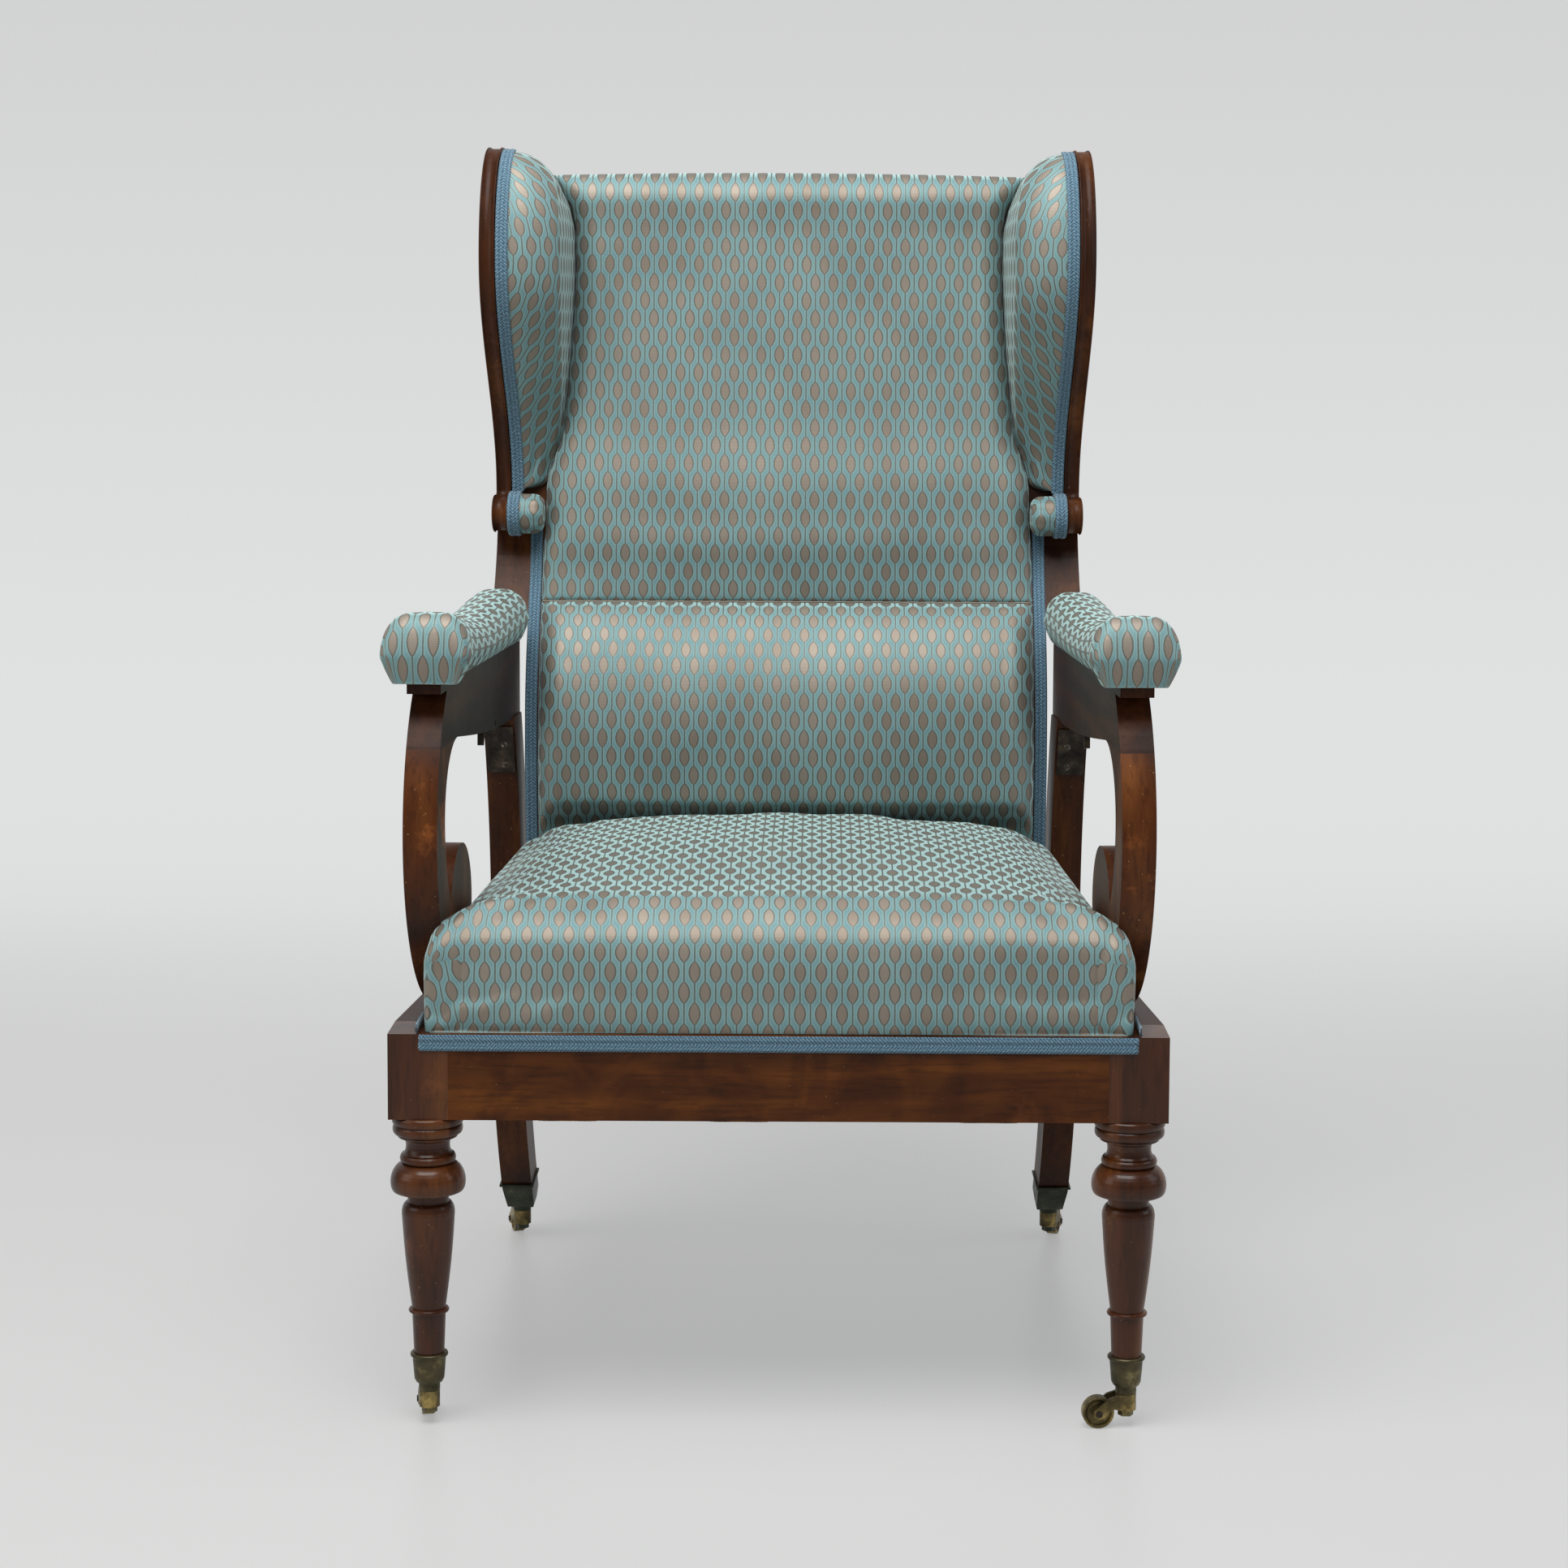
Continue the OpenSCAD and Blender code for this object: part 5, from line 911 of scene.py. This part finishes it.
def wingGimp(name, side):  # along the wing's front edge and over its crest
    z = np.linspace(braid["wingLow"], braid["wingHigh"], 50)
    angle = np.radians(np.linspace(2, 89, 24))
    depth = np.concatenate([wingFront(z) + 0.001, wing["crestDepth"] - 0.068 * np.cos(angle)])
    level = np.concatenate([z, wing["belly"] + 0.1135 * np.sin(angle)])
    slope = headings(depth, level)
    inset = chair["wingThick"] + chair["gap"] + braid["middle"]
    path = boardPoint(side, depth + 0.0022 * slope[:, 1], inset, level - 0.0022 * slope[:, 0])
    out = np.stack([0 * depth, -slope[:, 1], slope[:, 0]], -1)
    gimpStrip(name, path, out, "backrest", "wing_braid")


seatGimp()
for strip, start in ((backGimp, "backGimp"), (wingRollGimp, "wingRollGimp"), (wingGimp, "wingGimp")):
    strip(start + "Left", -1)
    strip(start + "Right", 1)
print("gimp braid made")


under = {
    "webHalf": 0.026, "webThick": 0.002, "weave": 0.0062, "level": 0.283, "toRail": 0.022, "halfPlan": 0.345,
    "deepPlan": 0.515, "longShares": (-0.54, -0.1, 0.54), "crossShares": (0.22, 0.5, 0.78),
}


def webStrip(name, start, end):
    # a flat woven strap: a wide thin ring carried along, its faces rippled as it passes over and under
    # known fault: the ring runs the wrong way round, so the straps' faces point inwards
    span = np.subtract(end, start)
    length = np.linalg.norm(span)
    count = int(length / 0.004)
    s = np.linspace(0, 1, count)[:, None]
    centre = np.array(start) * (1 - s) + np.array(end) * s
    across = np.cross(span / length, (0, 0, 1.0))
    t = np.concatenate([np.linspace(-1, 1, 25), np.linspace(1, -1, 25)])
    face = np.concatenate([np.full(25, -1.0), np.full(25, 1.0)])
    ripple = 0.00018 * np.sin(2 * np.pi * s * length / under["weave"] + t[None] * 40)
    thick = face[None] * (under["webThick"] / 2 - 0.0002) * (1 - 0.3 * t[None] ** 8) + ripple
    rings = (centre[:, None] + across * (t[None, :, None] * under["webHalf"])
             + np.array((0, 0, 1.0)) * thick[..., None])
    points, groups = sweepRings(rings)
    u = np.concatenate([np.tile(t * under["webHalf"], count), [0, 0]])
    v = np.concatenate([np.repeat(s[:, 0] * length, len(t)), [0, length]])
    piece = makeMesh(name, points, groups, perCorner(np.stack([u, v], -1), groups))
    dress(piece, jute, "seat_frame", "jute_webbing", "seat_webbing")


low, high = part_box("seat_webbing")
for n, share in enumerate(under["longShares"]):
    x = share * under["halfPlan"]
    webStrip(f"webLong{n}", (x, low.y, under["level"]), (x, high.y, under["level"]))
for n, share in enumerate(under["crossShares"]):
    depth = share * under["deepPlan"]
    y, half = depth - chair["depthCentre"], chair["sideHalf"] - depth * np.tan(taper) - under["toRail"]
    webStrip(f"webCross{n}", (-half, y, under["level"]), (half, y, under["level"]))


dust = {
    "edge": 0.001, "square": 0.3, "sag": 0.0095, "thick": 0.0006, "rows": 40, "around": 120, "planShare": 0.965,
}


def dustCloth():
    # a thin cloth tacked under the rails: sag = depth * (1 - r^2), r the distance from the middle as a share
    low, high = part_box("dust_cloth")
    cx, cy = (low.x + high.x) / 2, (low.y + high.y) / 2
    rx, ry = (high.x - low.x) / 2 - dust["edge"], (high.y - low.y) / 2 - dust["edge"]
    r = np.linspace(0, 1, dust["rows"])[:, None]
    a = np.linspace(0, 2 * np.pi, dust["around"], endpoint=False)[None]
    x = cx + rx * np.sign(np.cos(a)) * np.abs(np.cos(a)) ** dust["square"] * r
    y = cy + ry * np.sign(np.sin(a)) * np.abs(np.sin(a)) ** dust["square"] * r
    level = high.z - dust["thick"]
    z = level - dust["sag"] * (1 - r**2) + 0.0006 * np.sin(x * 45) * np.cos(y * 38) * (1 - r**4)
    points = np.stack([x, y, z], -1)[1:].reshape(-1, 3)
    points = np.vstack([points, [cx, cy, level - dust["sag"]]])
    ends = np.arange(dust["around"])
    fan = np.stack([ends, np.full(dust["around"], len(points) - 1), (ends + 1) % dust["around"]], -1)
    groups = [gridQuads(dust["rows"] - 1, dust["around"]), fan]
    piece = makeMesh("dustCloth", points, groups, perCorner(points[:, :2], groups))
    thickness = piece.modifiers.new("Solidify", "SOLIDIFY")
    thickness.thickness = dust["thick"]
    dress(piece, lining, "seat_frame", "dust_cloth")
    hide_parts("dust_cloth")


dustCloth()
print("webbing and dust cloth made")


cover = {
    "half": 0.2675, "wingLow": 0.812, "wingDepth": 0.64, "lift": 0.0008, "puff": 0.0011, "thick": 0.0007,
    "rows": 90, "columns": 60, "flatWidth": 0.566, "planShare": 0.95,
}


def backCover():
    # one flat panel following the stiles' rear curve, and wider between the wings: rows of height, columns across
    s = cover
    low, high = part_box("back_cover")
    z = np.linspace(low.z + 0.001, high.z - 0.001, s["rows"])[:, None]
    t = np.linspace(-1, 1, s["columns"])[None]
    rear = stileFront(z) + board["deep"] + s["lift"]
    toWings = chair["sideHalf"] - s["wingDepth"] * np.tan(taper) - chair["wingThick"] - s["lift"]
    half = s["half"] + (toWings - s["half"]) * ease((z - 0.806) / 0.008) * (z >= s["wingLow"])
    x = t * half
    y = rear + s["puff"] * (1 - t**8) * (0.6 + 0.4 * np.sin(z * 31 + t * 3)) - chair["depthCentre"]
    points = np.stack([x, y, z + 0 * t], -1).reshape(-1, 3)
    quads = gridQuads(s["rows"], s["columns"], around=False)[:, [0, 3, 2, 1]]
    run = lengthAlong(z[:, 0], rear[:, 0])
    uv = np.stack([x, np.broadcast_to(run[:, None], x.shape)], -1).reshape(-1, 2)
    piece = makeMesh("backCover", points, quads, uv[quads])
    thickness = piece.modifiers.new("Solidify", "SOLIDIFY")
    thickness.thickness = s["thick"]
    dress(piece, silk, "backrest", "figured_silk")
    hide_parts("back_cover")


backCover()
print("back cover made")


screw = {"x": 0.2877, "radius": 0.0034, "rise": 0.0009, "slot": 0.00055, "deep": 0.0007, "rings": 12, "around": 40}
plateFaces = BVHTree.FromObject(nodes["post_plates"], bpy.context.evaluated_depsgraph_get())


def plateFront(x, z):
    return plateFaces.ray_cast(Vector((x, -1, z)), Vector((0, 1, 0)))[0].y


def screwHead(name, x, z, turn):
    # low dome with a slot across it, laid on the plate's front: rise * (1 - share^2), less the slot's depth
    # known fault: the dome's faces point inwards, and only the rim's face points out
    s = screw
    low, high = plateFront(x, z - s["radius"]), plateFront(x, z + s["radius"])
    share = np.linspace(0, 1, s["rings"])[1:, None]
    angle = np.linspace(0, 2 * np.pi, s["around"], endpoint=False)[None]
    u, v = share * np.cos(angle) * s["radius"], share * np.sin(angle) * s["radius"]
    inSlot = np.abs(u * np.cos(turn) + v * np.sin(turn)) < s["slot"]
    out = s["rise"] * (1 - share**2) - s["deep"] * inSlot * (share < 0.99)
    face = (low + high) / 2 + (high - low) / 2 * v / s["radius"] - 0.0001
    rings = np.stack([x + u, face - out, z + v], -1)
    middle = [[x, (low + high) / 2 - 0.0001 - s["rise"] + s["deep"], z]]
    count, around = rings.shape[:2]
    j = np.arange(around)
    fan = np.stack([np.full(around, count * around), (j + 1) % around, j], -1)
    rim = (j + (count - 1) * around)[None, ::-1]
    piece = makeMesh(name, np.concatenate([rings.reshape(-1, 3), middle]), [gridQuads(count, around), fan, rim],
                     smooth=False)
    dress(piece, wornSteel, "seat_frame", "dark_iron")


for side, name in ((-1, "Left"), (1, "Right")):
    screwHead("upperPlateScrew" + name, side * screw["x"], 0.556, 0.5)
    screwHead("lowerPlateScrew" + name, side * screw["x"], 0.5342, 1.9)
print("screws made")


# backdropLow and backdropHigh are the painted glow of the floor and backdrop, darker toward the top; floorGlow is
# the share of that glow on the floor in front, painted light over its shadow
studioTones = {
    "floor": "#c8c9c7", "backdropLow": "#e0e1e1", "backdropHigh": "#cacaca", "air": "#e4e4e4", "airLight": 0.27,
    "key": 112, "over": 12, "fill": 17, "rim": 14, "floorGlow": 0.45,
}
studioShape = {"front": -6, "bendAt": 2.2, "bend": 1.4, "high": 6, "halfWidth": 7, "columns": 30}


def studio():
    # a floor that sweeps up into a backdrop in one curve
    s = studioShape
    turn = np.linspace(0.05, np.pi / 2, 24)
    y = np.concatenate([np.linspace(s["front"], s["bendAt"], 40), s["bendAt"] + s["bend"] * np.sin(turn),
                        np.full(12, s["bendAt"] + s["bend"])])
    z = np.concatenate([np.zeros(40), s["bend"] * (1 - np.cos(turn)), np.linspace(1.6, s["high"], 12)])
    x = np.linspace(-s["halfWidth"], s["halfWidth"], s["columns"])
    points = np.stack(np.broadcast_arrays(x[None], y[:, None], z[:, None]), -1).reshape(-1, 3)
    floor = makeMesh("studioFloor", points, gridQuads(len(y), s["columns"], around=False))
    material, tree = newMaterial("paleStudioFloor")
    place = addNode(tree, "TexCoord")
    split = addNode(tree, "SeparateXYZ", {0: place.outputs["Object"]})
    mottle = addNode(tree, "TexNoise", {"Vector": place.outputs["Object"], "Scale": 1.2, "Detail": 3.0})
    gloss = addNode(tree, "MapRange", {"Value": mottle, 3: 0.32, 4: 0.42})
    lit = addNode(tree, "BsdfPrincipled", {"Base Color": studioTones["floor"], "Roughness": gloss,
                                           "Specular IOR Level": 0.35})
    # painted light: seen directly or in reflections the floor and backdrop glow in a tone that darkens toward the
    # top, and the floor in front takes only floorGlow of it, which lightens its shadow
    high = addNode(tree, "MapRange", {"Value": split.outputs[2], 1: 0.3, 2: 2.4})
    tone = addNode(tree, "MixRGB", {0: high, 1: studioTones["backdropLow"], 2: studioTones["backdropHigh"]})
    paintedGlow = addNode(tree, "Emission", {"Color": tone, "Strength": 1.0})
    rays = addNode(tree, "LightPath")
    seen = addNode(tree, "Math", {0: rays.outputs["Is Camera Ray"], 1: rays.outputs["Is Glossy Ray"]},
                   operation="MAXIMUM")
    behind = addNode(tree, "MapRange", {"Value": split.outputs[1], 1: 0.7, 2: 2.8, 3: studioTones["floorGlow"]},
                     interpolation_type="SMOOTHSTEP")
    share = addNode(tree, "Math", {0: seen, 1: behind}, operation="MULTIPLY")
    finishMaterial(tree, addNode(tree, "MixShader", {0: share, 1: lit, 2: paintedGlow}))
    floor.data.materials.append(material)


studio()


def areaLight(name, place, target, size, power, colour="#ffffff"):
    data = bpy.data.lights.new(name, "AREA")
    data.shape, data.size, data.size_y, data.energy = "RECTANGLE", size[0], size[1], power
    data.color = hexLinear(colour)[:3]
    lamp = bpy.data.objects.new(name, data)
    lamp.location = place
    lamp.rotation_euler = Vector(np.subtract(target, place)).to_track_quat("-Z", "Y").to_euler()
    bpy.context.scene.collection.objects.link(lamp)


areaLight("softboxTop", (-0.35, -1.5, 3.4), (0, 0, 0.7), (2.6, 2.0), studioTones["key"])
areaLight("softboxOver", (0.1, 0.15, 3.2), (0.1, 0.15, 0.0), (1.8, 1.2), studioTones["over"])
areaLight("softboxLeft", (-2.8, -1.2, 1.7), (0, 0, 0.6), (1.6, 2.0), studioTones["fill"], "#fffaf4")
areaLight("softboxRight", (2.8, -0.4, 1.9), (0, 0, 0.7), (1.4, 2.0), studioTones["rim"], "#f6f9ff")
world = bpy.data.worlds.new("studio")
world.use_nodes = True
air = world.node_tree.nodes["Background"]
air.inputs["Color"].default_value = hexLinear(studioTones["air"])
air.inputs["Strength"].default_value = studioTones["airLight"]
bpy.context.scene.world = world

view = {"place": (0.03597, -3.12540, 0.98724), "turn": (84.5626, -0.2966, -0.0119), "lens": 74.138,
        "shift": (-0.0254, -0.0983)}
cameraData = bpy.data.cameras.new("photoCamera")
cameraData.lens, cameraData.sensor_width = view["lens"], 36
cameraData.shift_x, cameraData.shift_y = view["shift"]
cameraData.dof.use_dof = False
camera = bpy.data.objects.new("photoCamera", cameraData)
camera.location = view["place"]
camera.rotation_euler = np.radians(view["turn"])
bpy.context.scene.collection.objects.link(camera)
bpy.context.scene.camera = camera
bpy.context.scene.view_settings.view_transform = "Standard"
print("studio and camera set")
